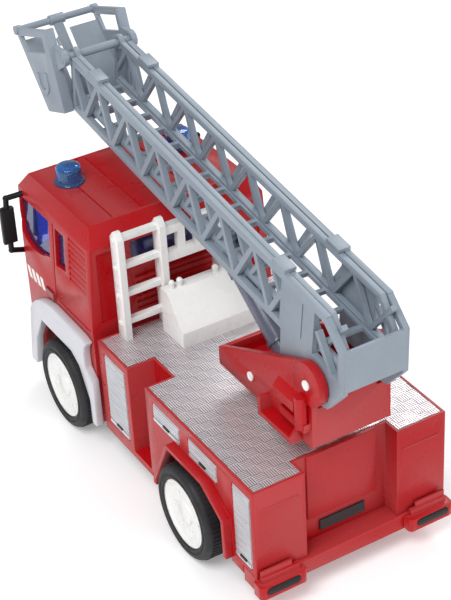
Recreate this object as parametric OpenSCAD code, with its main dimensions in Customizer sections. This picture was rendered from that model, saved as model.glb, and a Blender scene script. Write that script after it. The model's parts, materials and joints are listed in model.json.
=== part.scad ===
// Toy fire engine with a turntable ladder, all in millimetres.
// Forward is +X, the left side is +Y, up is +Z and the tyres stand on Z = 0.
// The pieces are laid out from the rear axle, and place() moves them to the part's own origin,
// which is under the middle of the whole model.

/* [Wheels] */
// Distance between the two axles
wheelbase = 105; // [102:0.5:107]
// Distance between the middle planes of the left and right wheels
track = 88; // [87:0.5:90]
// Outer diameter of a tyre
tyre_d = 41; // [39:0.5:41]
// Width of a tyre
tyre_w = 13; // [10:0.5:13]
// Diameter of the hub that the tyre sits on
hub_d = 29.4; // [27:0.2:31]
// Diameter of the two axles
axle_d = 3; // [2.8:0.1:3]

/* [Cab] */
// Width of the cab and of the rear body
body_w = 88; // [86:1:88]
// Height of the cab roof above the ground
roof_z = 106; // [104:1:107]
// Wall thickness of the moulded shells
wall = 1.8; // [1.4:0.1:2]
// Distance from the rear axle to the cab's nose
cab_front_x = 151; // [149:0.5:152]
// Distance from the rear axle to the cab's rear wall
cab_rear_x = 80; // [79.5:0.5:81]
// Diameter of a roof beacon
beacon_d = 11.4; // [9:0.2:12]
// Height of a roof beacon
beacon_h = 8; // [6:0.5:9]

/* [Rear body] */
// Height of the tread deck above the ground
deck_z = 58.5; // [57.5:0.5:59]
// Distance from the rear axle back to the tail face
tail_x = 45.5; // [45:0.5:47]
// Distance from the rear axle forward to the front end of the body
body_front_x = 76.2; // [75.5:0.1:76.5]
// Thickness of the tread deck sheet
deck_t = 0.8; // [0.6:0.1:1]

/* [Turntable] */
// Distance that the swivel axis lies behind the rear axle
swivel_back = 10; // [8:1:12]
// Height of the turntable floor's underside
turntable_z = 68.4; // [67.5:0.1:69]
// Height of the ladder's pivot pin
pivot_z = 97.2; // [96.5:0.1:98]
// Distance that the ladder's pivot pin lies behind the rear axle
pivot_back = 44.6; // [44:0.1:45]
// Half of the width over the two cheeks
cheek_half = 17.6; // [17.4:0.1:18]

/* [Ladder] */
// Angle of the ladder above level as it stands
elevation = 8; // [6:0.5:9]
// Half of the width of the ladder's outer section
outer_half = 14.4; // [14.2:0.1:14.5]
// Length of the outer section in front of the pivot
outer_reach = 187.5; // [186:0.5:188]
// Distance between two joints of the lattice along a rail
lattice_pitch = 24.1; // [24:0.1:24.2]
// Thickness of the ladder's side frames
frame_t = 2.4; // [2.2:0.1:2.4]
// How far the basket's nose hangs below the ladder's line, in degrees
basket_droop = 27; // [26:0.5:28]

/* [Running clearances] */
// Radial clearance of a pin or axle in its bearing
run_gap = 0.05; // [0.03:0.01:0.1]
// Gap between pieces that pass each other
pass_gap = 0.35; // [0.3:0.05:0.4]

/* [Hidden] */
$fn = 48;
eps = 0.01;

// The part's origin lies this far in front of the rear axle, under the middle of the model's length.
origin_ahead = 60;

body_half = body_w / 2;
axle_z = tyre_d / 2;
axle_r = axle_d / 2;
chassis_z = 10.5;
chassis_t = 2.5;
chassis_top = chassis_z + chassis_t;
shell_bottom = chassis_top;

module place() {
  translate([-origin_ahead, 0, 0]) children();
}

// Extrudes a drawing in the X-Z plane from y0 to y1.
module side_on(y0, y1) {
  translate([0, y1, 0]) rotate([90, 0, 0]) linear_extrude(y1 - y0) children();
}

// The same shape on the left side, or mirrored to the right side.
module on_side(side) {
  if (side > 0) children();
  else mirror([0, 1, 0]) children();
}

module both_sides() {
  children();
  mirror([0, 1, 0]) children();
}

module box(low, high) {
  translate(low) cube(high - low);
}

// A cylinder along Y from y0 to y1.
module rod_y(x, z, r, y0, y1) {
  translate([x, y1, z]) rotate([90, 0, 0]) cylinder(r = r, h = y1 - y0);
}

// A round bar between two points.
module bar(a, b, r) {
  d = b - a;
  translate(a)
    rotate([0, acos(d[2] / norm(d)), atan2(d[1], d[0])])
      cylinder(r = r, h = norm(d), $fn = 24);
}

// ---------------------------------------------------------------- chassis and wheels

bearing_y = [24, 31];
bearing_half = 5;
post_r = 3.2;
screw_r = 1.25;
screw_head_r = 2.4;
screw_head_h = 1.4;
screw_len = 9;
body_posts = [[-30, 24], [64, 24]];
cab_posts = [[85.4, 20], [141, 20]];
rib_y = 20;
rib_t = 1.8;

module chassis_outline() {
  translate([-35.4, -29]) square([182.4, 58]);
  translate([53, -42.4]) square([22.5, 84.8]);
  translate([134, -38]) square([11, 76]);
  translate([-35.4, -42.4]) square([3, 84.8]);
}

module chassis() {
  color("#1d1d20") difference() {
    union() {
      translate([0, 0, chassis_z]) linear_extrude(chassis_t) chassis_outline();
      for (x = [0, wheelbase]) both_sides()
        box([x - bearing_half, bearing_y[0], chassis_z], [x + bearing_half, bearing_y[1], axle_z + 4]);
      both_sides() box([38, rib_y - rib_t / 2, chassis_top - eps], [58, rib_y + rib_t / 2, chassis_top + 5]);
    }
    for (x = [0, wheelbase]) rod_y(x, axle_z, axle_r + run_gap, -bearing_y[1] - 1, bearing_y[1] + 1);
    box([-11, -7, chassis_z - 1], [11, -2.2, chassis_top + 1]);
    for (p = concat(body_posts, cab_posts)) both_sides() {
      translate([p[0], p[1], chassis_z - 1]) cylinder(r = screw_r + 0.2, h = chassis_t + 2);
      translate([p[0], p[1], chassis_z - 1]) cylinder(r = screw_head_r + 0.2, h = screw_head_h + 1.1);
    }
  }
}

// A self-tapping screw with its head down at z = 0 and a cross recess in the head.
module screw() {
  difference() {
    union() {
      cylinder(r = screw_head_r, h = screw_head_h);
      cylinder(r = screw_r - 0.02, h = screw_len);
    }
    for (a = [0, 90]) rotate([0, 0, a]) box([-1.5, -0.3, -1], [1.5, 0.3, 0.7]);
  }
}

module chassis_screws() {
  color("#b9bcc0") for (p = concat(body_posts, cab_posts)) both_sides()
    translate([p[0], p[1], chassis_z + 0.1]) screw();
}

hub_face_y = track / 2 + 5.2;
axle_end_y = hub_face_y - 2.6;

module axle(x) {
  color("#c8cacd") rod_y(x, axle_z, axle_r, -axle_end_y, axle_end_y);
}

// Half section of a hub: radius against distance out from the wheel's middle plane.
module hub_section() {
  r = hub_d / 2;
  polygon([
    [axle_r + 0.02, -5.6], [3.4, -5.6], [3.4, 1.4], [r - 1.6, 1.4], [r - 1.6, -5.6],
    [r, -5.6], [r, 5.8], [r - 1.1, 5.8], [r - 2.2, 4.6], [5.2, 4.2], [4.6, 5.2], [axle_r + 0.02, 5.2]
  ]);
}

module hub(x, side) {
  nut_ring_r = 8.8;
  nuts = 6;
  on_side(side) color("#f4f4f2") translate([x, track / 2, axle_z]) rotate([-90, 0, 0]) difference() {
    union() {
      rotate_extrude() hub_section();
      translate([0, 0, 4.4]) cylinder(r = 4.8, h = 0.8);
    }
    translate([0, 0, -6]) cylinder(r = axle_r + 0.02, h = 6 + axle_end_y - track / 2 + 0.1);
    for (k = [0 : nuts - 1]) rotate([0, 0, k * 360 / nuts])
      translate([nut_ring_r, 0, 3.6]) cylinder(r = 0.7, h = 3, $fn = 16);
  }
}

// Half section of a tyre with round shoulders.
module tyre_section() {
  r = tyre_d / 2;
  half = tyre_w / 2;
  round = 2.4;
  inner = hub_d / 2 + 0.02;
  arc = [for (a = [0 : 15 : 90]) [r - round + round * cos(a), half - round + round * sin(a)]];
  polygon(concat(
    [[inner, -5.6], [inner + 1.2, -half]],
    [for (k = [len(arc) - 1 : -1 : 0]) [arc[k][0], -arc[k][1]]],
    arc,
    [[inner + 1.2, half], [inner, 5.6]]
  ));
}

module tyre(x, side) {
  on_side(side) color("#26262a") translate([x, track / 2, axle_z]) rotate([-90, 0, 0])
    rotate_extrude($fn = 96) tyre_section();
}

// ---------------------------------------------------------------- friction motor

gear_module = 0.8;
pressure_angle = 25;
backlash = 0.16;
axle_teeth = 22;
pinion_teeth = 10;
idler_teeth = 26;
idler_dir = 50;
wheel_dir = 10;
gear_plane_a = [-6.2, -3.2];
gear_plane_b = [-2, 1];
flywheel_plane = [2, 7];
flywheel_r = 10;
spindle_r = 1.1;

function pitch_r(teeth) = gear_module * teeth / 2;
function step_from(p, r, a) = [p[0] + r * cos(a), p[1] + r * sin(a)];
axle_at = [0, axle_z];
idler_at = step_from(axle_at, pitch_r(axle_teeth + pinion_teeth), idler_dir);
flywheel_at = step_from(idler_at, pitch_r(idler_teeth + pinion_teeth), wheel_dir);

// Turn of a gear that makes it mesh with another one that is turned by turn_a and lies behind dir.
function mesh_turn(dir, teeth_a, turn_a, teeth_b) =
  dir + 180 - (0.5 - (dir - turn_a) * teeth_a / 360) * 360 / teeth_b;
pinion_turn = mesh_turn(idler_dir, axle_teeth, 0, pinion_teeth);
flywheel_turn = mesh_turn(wheel_dir, idler_teeth, pinion_turn, pinion_teeth);

// Involute of a flank, in degrees, at radius r from base radius rb.
function involute(r, rb) = r <= rb ? 0 : tan(acos(rb / r)) * 180 / PI - acos(rb / r);

module gear_drawing(teeth) {
  rp = pitch_r(teeth);
  ra = rp + 0.8 * gear_module;
  rr = rp - gear_module;
  rb = rp * cos(pressure_angle);
  half = 90 / teeth - backlash / 2 / rp * 180 / PI / 2 + involute(rp, rb);
  steps = 5;
  radii = concat([rr], [for (k = [0 : steps]) max(rr + 0.05, rb) + (ra - max(rr + 0.05, rb)) * k / steps]);
  flank = [for (r = radii) [r, half - involute(r, rb)]];
  points = [for (tooth = [0 : teeth - 1])
    for (p = concat([for (f = flank) [f[0], -f[1]]], [for (k = [len(flank) - 1 : -1 : 0]) flank[k]]))
      p[0] * [cos(p[1] + tooth * 360 / teeth), sin(p[1] + tooth * 360 / teeth)]];
  polygon(points);
}

module gear_at(centre, teeth, turn, plane) {
  side_on(plane[0], plane[1]) translate(centre) rotate(turn) gear_drawing(teeth);
}

module axle_gear() {
  color("#e8e4d8") difference() {
    union() {
      gear_at(axle_at, axle_teeth, 0, gear_plane_a);
      rod_y(0, axle_z, 3, gear_plane_a[0] - 0.6, gear_plane_a[0] + 1);
    }
    rod_y(0, axle_z, axle_r + 0.02, gear_plane_a[0] - 2, gear_plane_a[1] + 2);
  }
}

case_y = [-8.8, 9.2];
case_t = 1.6;

module idler_gear() {
  color("#e8e4d8") {
    gear_at(idler_at, pinion_teeth, pinion_turn, [gear_plane_a[0], gear_plane_b[0] + eps]);
    gear_at(idler_at, idler_teeth, pinion_turn, gear_plane_b);
    rod_y(idler_at[0], idler_at[1], spindle_r, case_y[0] + 0.1, case_y[1] - 0.1);
    rod_y(idler_at[0], idler_at[1], 2, gear_plane_b[1] - eps, 1.6);
  }
}

module flywheel() {
  color("#9a9da1") {
    rod_y(flywheel_at[0], flywheel_at[1], flywheel_r, flywheel_plane[0], flywheel_plane[1]);
    gear_at(flywheel_at, pinion_teeth, flywheel_turn, [gear_plane_b[0], flywheel_plane[0] + eps]);
    rod_y(flywheel_at[0], flywheel_at[1], spindle_r, case_y[0] + 0.1, case_y[1] - 0.1);
  }
}

case_x = [-13.5, 36];
case_top = 46;

module case_bores() {
  rod_y(0, axle_z, axle_r + run_gap, case_y[0] - 2, case_y[1] + 2);
  rod_y(idler_at[0], idler_at[1], spindle_r + run_gap, case_y[0] - 2, case_y[1] + 2);
  rod_y(flywheel_at[0], flywheel_at[1], spindle_r + run_gap, case_y[0] - 2, case_y[1] + 2);
}

module motor_case() {
  color("#3a3a3e") difference() {
    union() {
      box([case_x[0], case_y[0], chassis_top], [case_x[1], case_y[0] + case_t, case_top]);
      for (x = [case_x[0], case_x[1] - case_t])
        box([x, case_y[0], chassis_top], [x + case_t, case_y[1] - case_t, case_top]);
      box([case_x[0], case_y[0], case_top - case_t], [case_x[1], case_y[1] - case_t, case_top]);
    }
    case_bores();
  }
}

module motor_cover() {
  color("#3a3a3e") difference() {
    box([case_x[0], case_y[1] - case_t, chassis_top], [case_x[1], case_y[1], case_top]);
    case_bores();
  }
}

// ---------------------------------------------------------------- cab

nose_bow = 3.4;
nose_corner = 7;
waist_z = 60;
band_z = 99;
lean_half = body_half - 2.5;
roof_half = body_half - 6;

// Outline of the cab from above, inset by i.
function nose_x(y) = cab_front_x - nose_bow * pow(y / body_half, 2);
function cab_plan(i) =
  let (c = body_half - nose_corner, xc = nose_x(c) - nose_corner)
  let (corner = [for (a = [90 : -15 : 0]) [xc + (nose_corner - i) * cos(a), c + (nose_corner - i) * sin(a)]])
  let (bow = [for (y = [c - 6 : -6 : 1]) [nose_x(y) - i, y]])
  let (half = concat([[cab_rear_x + i, body_half - i]], corner, bow))
  concat(half, [for (k = [len(half) - 1 : -1 : 0]) [half[k][0], -half[k][1]]]);

// Outline of the cab from the side, inset by i: sloping windscreen, chamfered roof edges.
function cab_profile(i) = [
  [cab_rear_x + i, shell_bottom], [cab_front_x - i, shell_bottom], [cab_front_x - i, waist_z + 2],
  [cab_front_x - 4 - i, band_z], [cab_front_x - 9 - i / 2, roof_z - i],
  [cab_rear_x + 6.5 + i / 2, roof_z - i], [cab_rear_x + i, band_z + 0.5 - i / 2]
];

// Outline of the cab from the front, inset by i: upright to the waist, then leaning in.
function cab_front(i) =
  let (half = [[body_half - i, shell_bottom], [body_half - i, waist_z], [lean_half - i, band_z],
    [roof_half - i / 2, roof_z - i]])
  concat(half, [for (k = [len(half) - 1 : -1 : 0]) [-half[k][0], half[k][1]]]);

module cab_solid(i) {
  intersection() {
    linear_extrude(roof_z) polygon(cab_plan(i));
    side_on(-body_half, body_half) polygon(cab_profile(i));
    translate([cab_rear_x - 1, 0, 0]) rotate([90, 0, 90])
      linear_extrude(cab_front_x - cab_rear_x + 2) polygon(cab_front(i));
  }
}

// The outer skin of the cab, of thickness t, where the children lie.
module cab_skin(t, proud = 0) {
  intersection() {
    difference() {
      cab_solid(-proud);
      cab_solid(t);
    }
    children();
  }
}

door_window = [
  [118, 95], [118, 77.4], [121, 76.6], [125, 74.8], [130, 73.6], [135, 73.6], [140, 74.6], [144.6, 77.4],
  [146.6, 82], [145.2, 95]
];
side_window = [[103.2, 94.3], [103.2, 77.6], [112, 76.4], [112, 94.3]];
window_half = 34;
rear_window = [23, 84.5, 97];

front_arch = [
  [136.5, shell_bottom - 1], [133, 29], [125, 42.8], [96.5, 42.8], [89.8, 39], [82.6, 25.5],
  [82.2, shell_bottom - 1]
];
louvre_top = 94.4;
louvre_pitch = 2.75;
louvres = 8;

// Half width of the cab at height z
function side_y(z) = z < waist_z
  ? body_half
  : body_half - (z - waist_z) * (body_half - lean_half) / (band_z - waist_z);

module cab_grooves() {
  // side louvres, each a shallow wedge
  for (k = [0 : louvres - 1]) let (z = louvre_top - k * louvre_pitch)
    both_sides() translate([84, side_y(z), z]) rotate([30, 0, 0]) cube([15.5, 1.5, 1.8]);
  // door seams, sill line and step grooves round the nose
  difference() {
    union() {
      box([113.6, -body_half - 1, 57], [114.4, body_half + 1, band_z - 3.5]);
      box([82, -body_half - 1, 59], [112, body_half + 1, 59.7]);
      for (z = [20, 28.5, 37]) box([137.5, -body_half - 1, z], [cab_front_x + 1, body_half + 1, z + 1.6]);
      box([140, -body_half - 1, 61], [cab_front_x + 1, body_half + 1, 61.7]);
    }
    cab_solid(0.7);
  }
  // roof panel lines
  for (y = [-26, -12, 12, 26]) box([88, y - 0.35, roof_z - 0.4], [139, y + 0.35, roof_z + 1]);
  for (y = [-20, 20]) box([139.6, y - 5, roof_z - 0.5], [140.8, y + 5, roof_z + 1]);
  // framed panel in the rear wall, with slanting ribs below the window
  box([cab_rear_x - 1, -39, 63], [cab_rear_x + 0.6, -26, 96]);
  box([cab_rear_x - 1, 26, 63], [cab_rear_x + 0.6, 39, 96]);
  for (k = [0 : 5]) box([cab_rear_x - 1, -22, 63 + k * 3.2], [cab_rear_x + 0.6, 22, 64.4 + k * 3.2]);
}

grille_box = [[140, -24, 43.5], [160, 24, 57]];
lamp_box = [[136, 25.5, 39.6], [160, 37.5, 49]];
insert_gap = 0.1;

module cab_inserts_pocket() {
  g = [insert_gap, insert_gap, insert_gap];
  cab_skin(1.1) union() {
    box(grille_box[0] - g, grille_box[1] + g);
    both_sides() box(lamp_box[0] - g, lamp_box[1] + g);
  }
}

// A web from a screw post to the end wall.
module web(x0, x1, y) {
  box([x0, y - 0.8, chassis_top], [x1, y + 0.8, 50]);
}

module cab_shell() {
  color("#d41f26") difference() {
    union() {
      difference() {
        cab_solid(0);
        intersection() {
          cab_solid(wall);
          box([0, -50, 0], [200, 50, roof_z - wall]);
        }
        box([cab_rear_x + wall, -body_half + wall, 0], [cab_front_x - 5, body_half - wall, shell_bottom + 1]);
      }
      for (p = cab_posts) both_sides() {
        translate([p[0], p[1], chassis_top]) cylinder(r = post_r, h = 37);
      }
      both_sides() {
        web(cab_posts[1][0], nose_x(cab_posts[1][1]) - wall + 0.2, cab_posts[1][1]);
        web(cab_rear_x + 1, cab_posts[0][0], cab_posts[0][1]);
      }
    }
    side_on(-60, 60) polygon(door_window);
    side_on(-60, 60) polygon(side_window);
    both_sides() side_on(bearing_y[1], 60) polygon(front_arch);
    box([cab_front_x - 14, -window_half, 66], [cab_front_x + 5, window_half, 96.5]);
    box([cab_rear_x - 1, -rear_window[0], rear_window[1]], [cab_rear_x + 5, rear_window[0], rear_window[2]]);
    cab_grooves();
    cab_inserts_pocket();
    for (p = cab_posts) both_sides()
      translate([p[0], p[1], chassis_top - 1]) cylinder(r = screw_r, h = screw_len);
  }
}

module cab_glazing() {
  glass_t = 1.1;
  color([0.35, 0.4, 0.85, 0.5]) intersection() {
    difference() {
      cab_solid(wall + 0.05);
      cab_solid(wall + 0.05 + glass_t);
    }
    box([cab_rear_x, -50, 64.5], [200, 50, 98.4]);
  }
}

floor_z = 50;
floor_t = 1.6;

module seat(y) {
  translate([100, 0, floor_z + floor_t - eps]) {
    side_on(y - 9, y + 9) polygon([[0, 0], [16, 0], [16, 8], [5.2, 8], [1.6, 27], [-3.4, 27], [0, 7]]);
    side_on(y - 4.5, y + 4.5) polygon([[-2.6, 25], [0.8, 25], [-0.6, 34], [-4, 34]]);
  }
}

module cab_interior() {
  color("#2b2b30") {
    box([cab_rear_x + 5, -36, floor_z], [cab_front_x - 9, 36, floor_z + floor_t]);
    seat(17);
    seat(-17);
    box([130, -34, floor_z + floor_t - eps], [139, 34, 66]);
    translate([125, 17, 67]) rotate([0, -55, 0]) {
      difference() {
        cylinder(r = 7.2, h = 1.6);
        translate([0, 0, -1]) cylinder(r = 5.8, h = 4);
      }
      box([-1, -6.4, 0.2], [1, 6.4, 1.4]);
      box([-0.8, -0.8, -12], [0.8, 0.8, 1]);
    }
  }
}

module grille() {
  color("#1b1b1e") cab_skin(1.1, 0.5) difference() {
    box(grille_box[0], grille_box[1]);
    for (z = [45.4 : 2.8 : 55]) box([cab_front_x - 3.6, -22, z], [200, 22, z + 1.1]);
  }
}

module headlamps() {
  color([0.9, 0.93, 0.95, 0.6]) both_sides() cab_skin(1.1, 0.4) box(lamp_box[0], lamp_box[1]);
}

fender_outer = [
  [141.6, shell_bottom], [140.6, 20], [136.4, 43], [134, 47], [130, 50.6], [124, 54], [118, 55.8],
  [112, 56.6], [86, 56.2], [80.6, 54.8], [83, 52], [84.2, 48], [84, 41], [79, 37], [78.4, 36],
  [78.4, shell_bottom]
];
flare_y = body_half + 3.8;

module fender(side) {
  on_side(side) color("#dcdde2") difference() {
    side_on(body_half, flare_y) polygon(fender_outer);
    side_on(body_half - 1, flare_y + 1) polygon(front_arch);
  }
}

// Mirror: arm from the roof pillar round to the housing and back to the door.
module mirror_unit(side) {
  r = 1.25;
  top = [143, 41, 96.8];
  top_bend = [146.2, 48.2, 95];
  head_top = [146.4, 48.6, 90];
  head_low = [146.4, 48.6, 73];
  low_bend = [147, 48.4, 68.4];
  low = [147.2, 41, 66];
  on_side(side) color("#17171a") difference() {
    union() {
      bar(top, top_bend, r);
      bar(top_bend, head_top - [0, 0, 1.5], r);
      bar(head_low + [0, 0, 1.5], low_bend, r);
      bar(low_bend, low, r);
      for (p = [top_bend, low_bend]) translate(p) sphere(r = r + 0.15, $fn = 24);
      translate([146.4, 48.6, 73]) linear_extrude(17)
        polygon([[-1.4, -2.9], [-0.8, -3.3], [1, -3.1], [2, -1.6], [2, 1.6], [1, 3.1], [-0.8, 3.3],
          [-1.4, 2.9]]);
    }
    cab_solid(0);
  }
}

beacon_at = [125, 26.7];

module beacon(side) {
  r = beacon_d / 2;
  on_side(side) color([0.05, 0.3, 0.75, 0.55]) translate([beacon_at[0], beacon_at[1], roof_z])
    rotate_extrude() polygon([
      [r - 1, 0], [r + 0.9, 0], [r + 0.9, 0.9], [r, 1.1], [r - 0.25, beacon_h - 1.2],
      [r - 0.7, beacon_h - 0.4], [r - 1.5, beacon_h], [0, beacon_h], [0, beacon_h - 1],
      [r - 1.6, beacon_h - 1], [r - 1.2, beacon_h - 1.6]
    ]);
}

module beacon_cores() {
  color("#1c2436") both_sides() translate([beacon_at[0], beacon_at[1], roof_z]) {
    cylinder(r = 3.4, h = 1.2);
    cylinder(r = 1.9, h = beacon_h - 2.6);
  }
}

// ---------------------------------------------------------------- rear body

notch = [35.9, 50.6, 12.5];
sill_h = 3.4;
recess_half = 21;
recess_depth = 7.8;
lip = 1.2;
bumper_top = 17;
bumper_front = 36;
arch_open = [[25.6, 0], [25.2, 20], [13.4, 42.8], [-12.2, 42.8], [-26.3, 34.3], [-27.3, 0]];
arch_flare = [[27.8, 17], [27.4, 20.4], [14.5, 44.8], [-12.8, 44.8], [-28.4, 35.4], [-29.3, 17]];
// Each shutter: x from, x to, z from, z to
shutters = [
  [54, 71.2, 19.5, 54.2], [9.3, 30.2, 45.6, 54.2], [-19, 2.3, 45.6, 54.2], [-42.6, -30.4, 19.5, 54.2]
];
shutter_depth = 0.8;

// Outline of the rear body from above, inset by i.
function body_plan(i) =
  let (half = [
    [-tail_x + recess_depth + i, recess_half + i], [-tail_x + i, recess_half + i],
    [-tail_x + i, body_half - i], [notch[0] - i, body_half - i], [notch[0] - i, body_half - notch[2] - i],
    [notch[1] + i, body_half - notch[2] - i], [notch[1] + i, body_half - i], [body_front_x - i, body_half - i]
  ])
  concat(half, [for (k = [len(half) - 1 : -1 : 0]) [half[k][0], -half[k][1]]]);

ring_r = 15;
spigot_r = 7;

module shutter_boxes(g) {
  for (s = shutters)
    box([s[0] - g, body_half - shutter_depth, s[2] - g], [s[1] + g, body_half + 1, s[3] + g]);
}

module rear_body() {
  color("#d41f26") difference() {
    union() {
      difference() {
        translate([0, 0, shell_bottom]) linear_extrude(deck_z - shell_bottom) polygon(body_plan(0));
        translate([0, 0, shell_bottom - 1]) linear_extrude(deck_z - deck_t - wall - shell_bottom + 1)
          polygon(body_plan(wall));
        translate([0, 0, deck_z - deck_t]) linear_extrude(deck_t + 1) polygon(body_plan(lip));
      }
      for (p = body_posts) both_sides()
        translate([p[0], p[1], chassis_top]) cylinder(r = post_r, h = deck_z - deck_t - 1 - chassis_top);
      both_sides() side_on(body_half - eps, flare_y) polygon(arch_flare);
      both_sides()
        box([notch[0] - wall, body_half - notch[2] - 1, shell_bottom],
          [notch[1] + wall, body_half, shell_bottom + sill_h]);
      box([-tail_x + recess_depth - 1, -16, 28], [-tail_x + recess_depth + eps, 16, deck_z]);
      both_sides() box([-tail_x - 0.5, recess_half + 3, 49], [-tail_x + eps, body_half - 3, 49.6]);
    }
    both_sides() side_on(bearing_y[1] + 1, 60) polygon(arch_open);
    both_sides() shutter_boxes(0.1);
    box([-60, -50, 0], [-bumper_front + eps + pass_gap, 50, bumper_top]);
    translate([-swivel_back, 0, 40]) cylinder(r = spigot_r + 0.4, h = 30);
    for (p = body_posts) both_sides()
      translate([p[0], p[1], chassis_top - 1]) cylinder(r = screw_r, h = screw_len);
  }
}

module deck_plate() {
  color("#cfd0d4") difference() {
    translate([0, 0, deck_z - deck_t]) linear_extrude(deck_t) polygon(body_plan(lip + 0.1));
    translate([-swivel_back, 0, 40]) cylinder(r = spigot_r + 0.4, h = 30);
  }
}

// One roller shutter insert with its bottom rail and handle.
module shutter(side, number) {
  s = shutters[number - 1];
  middle = (s[0] + s[1]) / 2;
  on_side(side) color("#c9ccd1") {
    box([s[0], body_half - shutter_depth, s[2]], [s[1], body_half, s[3]]);
    box([s[0] + 0.6, body_half - 0.1, s[2] + 0.4], [s[1] - 0.6, body_half + 0.3, s[2] + 1.8]);
    box([middle - 2.4, body_half - 0.1, s[2] + 2.2], [middle + 2.4, body_half + 0.5, s[2] + 3.2]);
  }
}

bumper_end_x = -50.5;
lamp_y = [27.5, 42.5];
lamp_z = [11.8, 15.2];

module lamp_slot(g, depth) {
  r = (lamp_z[1] - lamp_z[0]) / 2 + g;
  zc = (lamp_z[0] + lamp_z[1]) / 2;
  translate([bumper_end_x - 1 + g, 0, 0]) {
    for (y = [lamp_y[0] + r - g, lamp_y[1] - r + g])
      translate([0, y, zc]) rotate([0, 90, 0]) cylinder(r = r, h = depth);
    box([0, lamp_y[0] + r - g, zc - r], [depth, lamp_y[1] - r + g, zc + r]);
  }
}

module rear_bumper() {
  r = 2;
  color("#d41f26") difference() {
    union() {
      box([-46.6, -body_half, chassis_z - 0.5], [-bumper_front, body_half, bumper_top - 0.02]);
      both_sides() {
        for (x = [bumper_end_x + r, -46], y = [24 + r, body_half + 1.2 - r])
          translate([x, y, chassis_z - 0.5]) cylinder(r = r, h = bumper_top - chassis_z - 0.5, $fn = 32);
        box([bumper_end_x + r, 24, chassis_z - 0.5], [-45, body_half + 1.2, bumper_top - 1]);
        box([bumper_end_x, 24 + r, chassis_z - 0.5], [-46, body_half + 1.2 - r, bumper_top - 1]);
        box([-48, 26, bumper_top - 1.2], [-tail_x - 0.52, 43, bumper_top + 1.6]);
        box([-47, 29, bumper_top + 1.5], [-tail_x - 0.52, 43, bumper_top + 4]);
      }
    }
    both_sides() lamp_slot(0.05, 2.2);
  }
}

module tail_lamps() {
  color("#161618") both_sides() difference() {
    lamp_slot(0, 2.15);
    box([-60, 0, 0], [bumper_end_x - 0.3, 60, 60]);
  }
}

module rear_plate() {
  back = -tail_x + recess_depth;
  color("#151517") difference() {
    box([back - 1, -10.5, 20.2], [back, 10.5, 25]);
    box([back - 2, -9.9, 20.8], [back - 0.7, 9.9, 24.4]);
  }
}

// White moulding on the deck: access ladder on the left and the cradle that the ladder rests over.
module boom_rest() {
  x0 = 68;
  x1 = 74.6;
  middle = (x0 + x1) / 2;
  stile_t = 3;
  top = 109.6;
  outer_y = 34.4;
  inner_y = 15;
  rungs = [66, 79.4, 92.8, 106];
  cradle_z = [88, 92.4];
  color("#f5f5f3") {
    for (y = [outer_y - stile_t, inner_y - stile_t, -inner_y]) side_on(y, y + stile_t)
      polygon([[x0, deck_z], [x1, deck_z], [x1, top - 3], [middle + 0.8, top], [middle - 0.8, top],
        [x0, top - 3]]);
    for (z = rungs) box([70.2, inner_y - eps, z - 1.3], [73, outer_y - stile_t + eps, z + 1.3]);
    for (z = rungs) box([70.6, outer_y - eps, z - 0.7], [72.6, outer_y + 0.8, z + 0.7]);
    box([69.6, -inner_y + stile_t - eps, cradle_z[0]], [73.4, inner_y - stile_t + eps, cradle_z[1]]);
    both_sides() {
      box([69.6, 5.6, 101], [73.4, inner_y - stile_t + eps, 105]);
      box([69.6, 2.6, cradle_z[0]], [73.4, 5.8, 105]);
    }
  }
}

// White pump unit with a sloping panel.
module pump_unit() {
  half = 17.6;
  outline = [
    [49.6, deck_z], [66.6, deck_z], [66.6, 79.6], [61.4, 79.6], [59.6, 78.4], [50.4, 66.4], [49.6, 65.6]
  ];
  color("#f5f5f3") difference() {
    union() {
      side_on(-half, half) polygon(outline);
      for (y = [13.9, 10.1, -6.9, -14]) translate([63.4, y, 79.5]) {
        cylinder(r = 1.2, h = 2.6, $fn = 20);
        translate([0, 0, 2.6]) sphere(r = 1.35, $fn = 20);
      }
    }
    for (y = [-5.6, 5]) translate([59.6, y, 78.4]) rotate([0, 52.5, 0]) box([2, -0.25, -0.4], [13.4, 0.25, 2]);
    translate([59.6, 0, 78.4]) rotate([0, 52.5, 0]) difference() {
      box([1.6, -half + 1.6, -0.35], [13.9, half - 1.6, 2]);
      box([2.2, -half + 2.2, -1], [13.3, half - 2.2, 3]);
    }
  }
}

// ---------------------------------------------------------------- turntable

floor_top = turntable_z + 2;
cheek_t = 2.7;
cheek_in = cheek_half - cheek_t;
pivot = [-pivot_back, pivot_z];
boss_r = 8.8;
boss_y = cheek_half + 1;
pin_r = 1.6;
ram_base = [-3.8, 76.6];
ram_pin_r = 1.4;
front_x = 20.4;
rear_x = -46;
front_top = 76.6;
station_x = [-39.5, -16];
station_y = 22.6;

module turntable_ring() {
  color("#cfd0d4") translate([-swivel_back, 0, deck_z]) difference() {
    cylinder(r = ring_r, h = turntable_z - pass_gap - deck_z);
    translate([0, 0, -1]) cylinder(r = spigot_r + run_gap, h = 20);
    difference() {
      translate([0, 0, 3]) cylinder(r = ring_r + 1, h = 3);
      translate([0, 0, 2]) cylinder(r = ring_r - 1, h = 5);
    }
  }
}

function cheek_outline() = [
  [front_x, turntable_z], [front_x, front_top], [16.5, front_top + 1.6],
  [pivot[0] + boss_r * cos(66), pivot[1] + boss_r * sin(66)], [pivot[0], pivot[1]],
  [rear_x, pivot[1] - 6], [rear_x, turntable_z]
];

// A flat drawing in the Y-Z plane, extruded from x0 to x1.
module end_on(x0, x1) {
  translate([x0, 0, 0]) rotate([90, 0, 90]) linear_extrude(x1 - x0) children();
}

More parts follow.
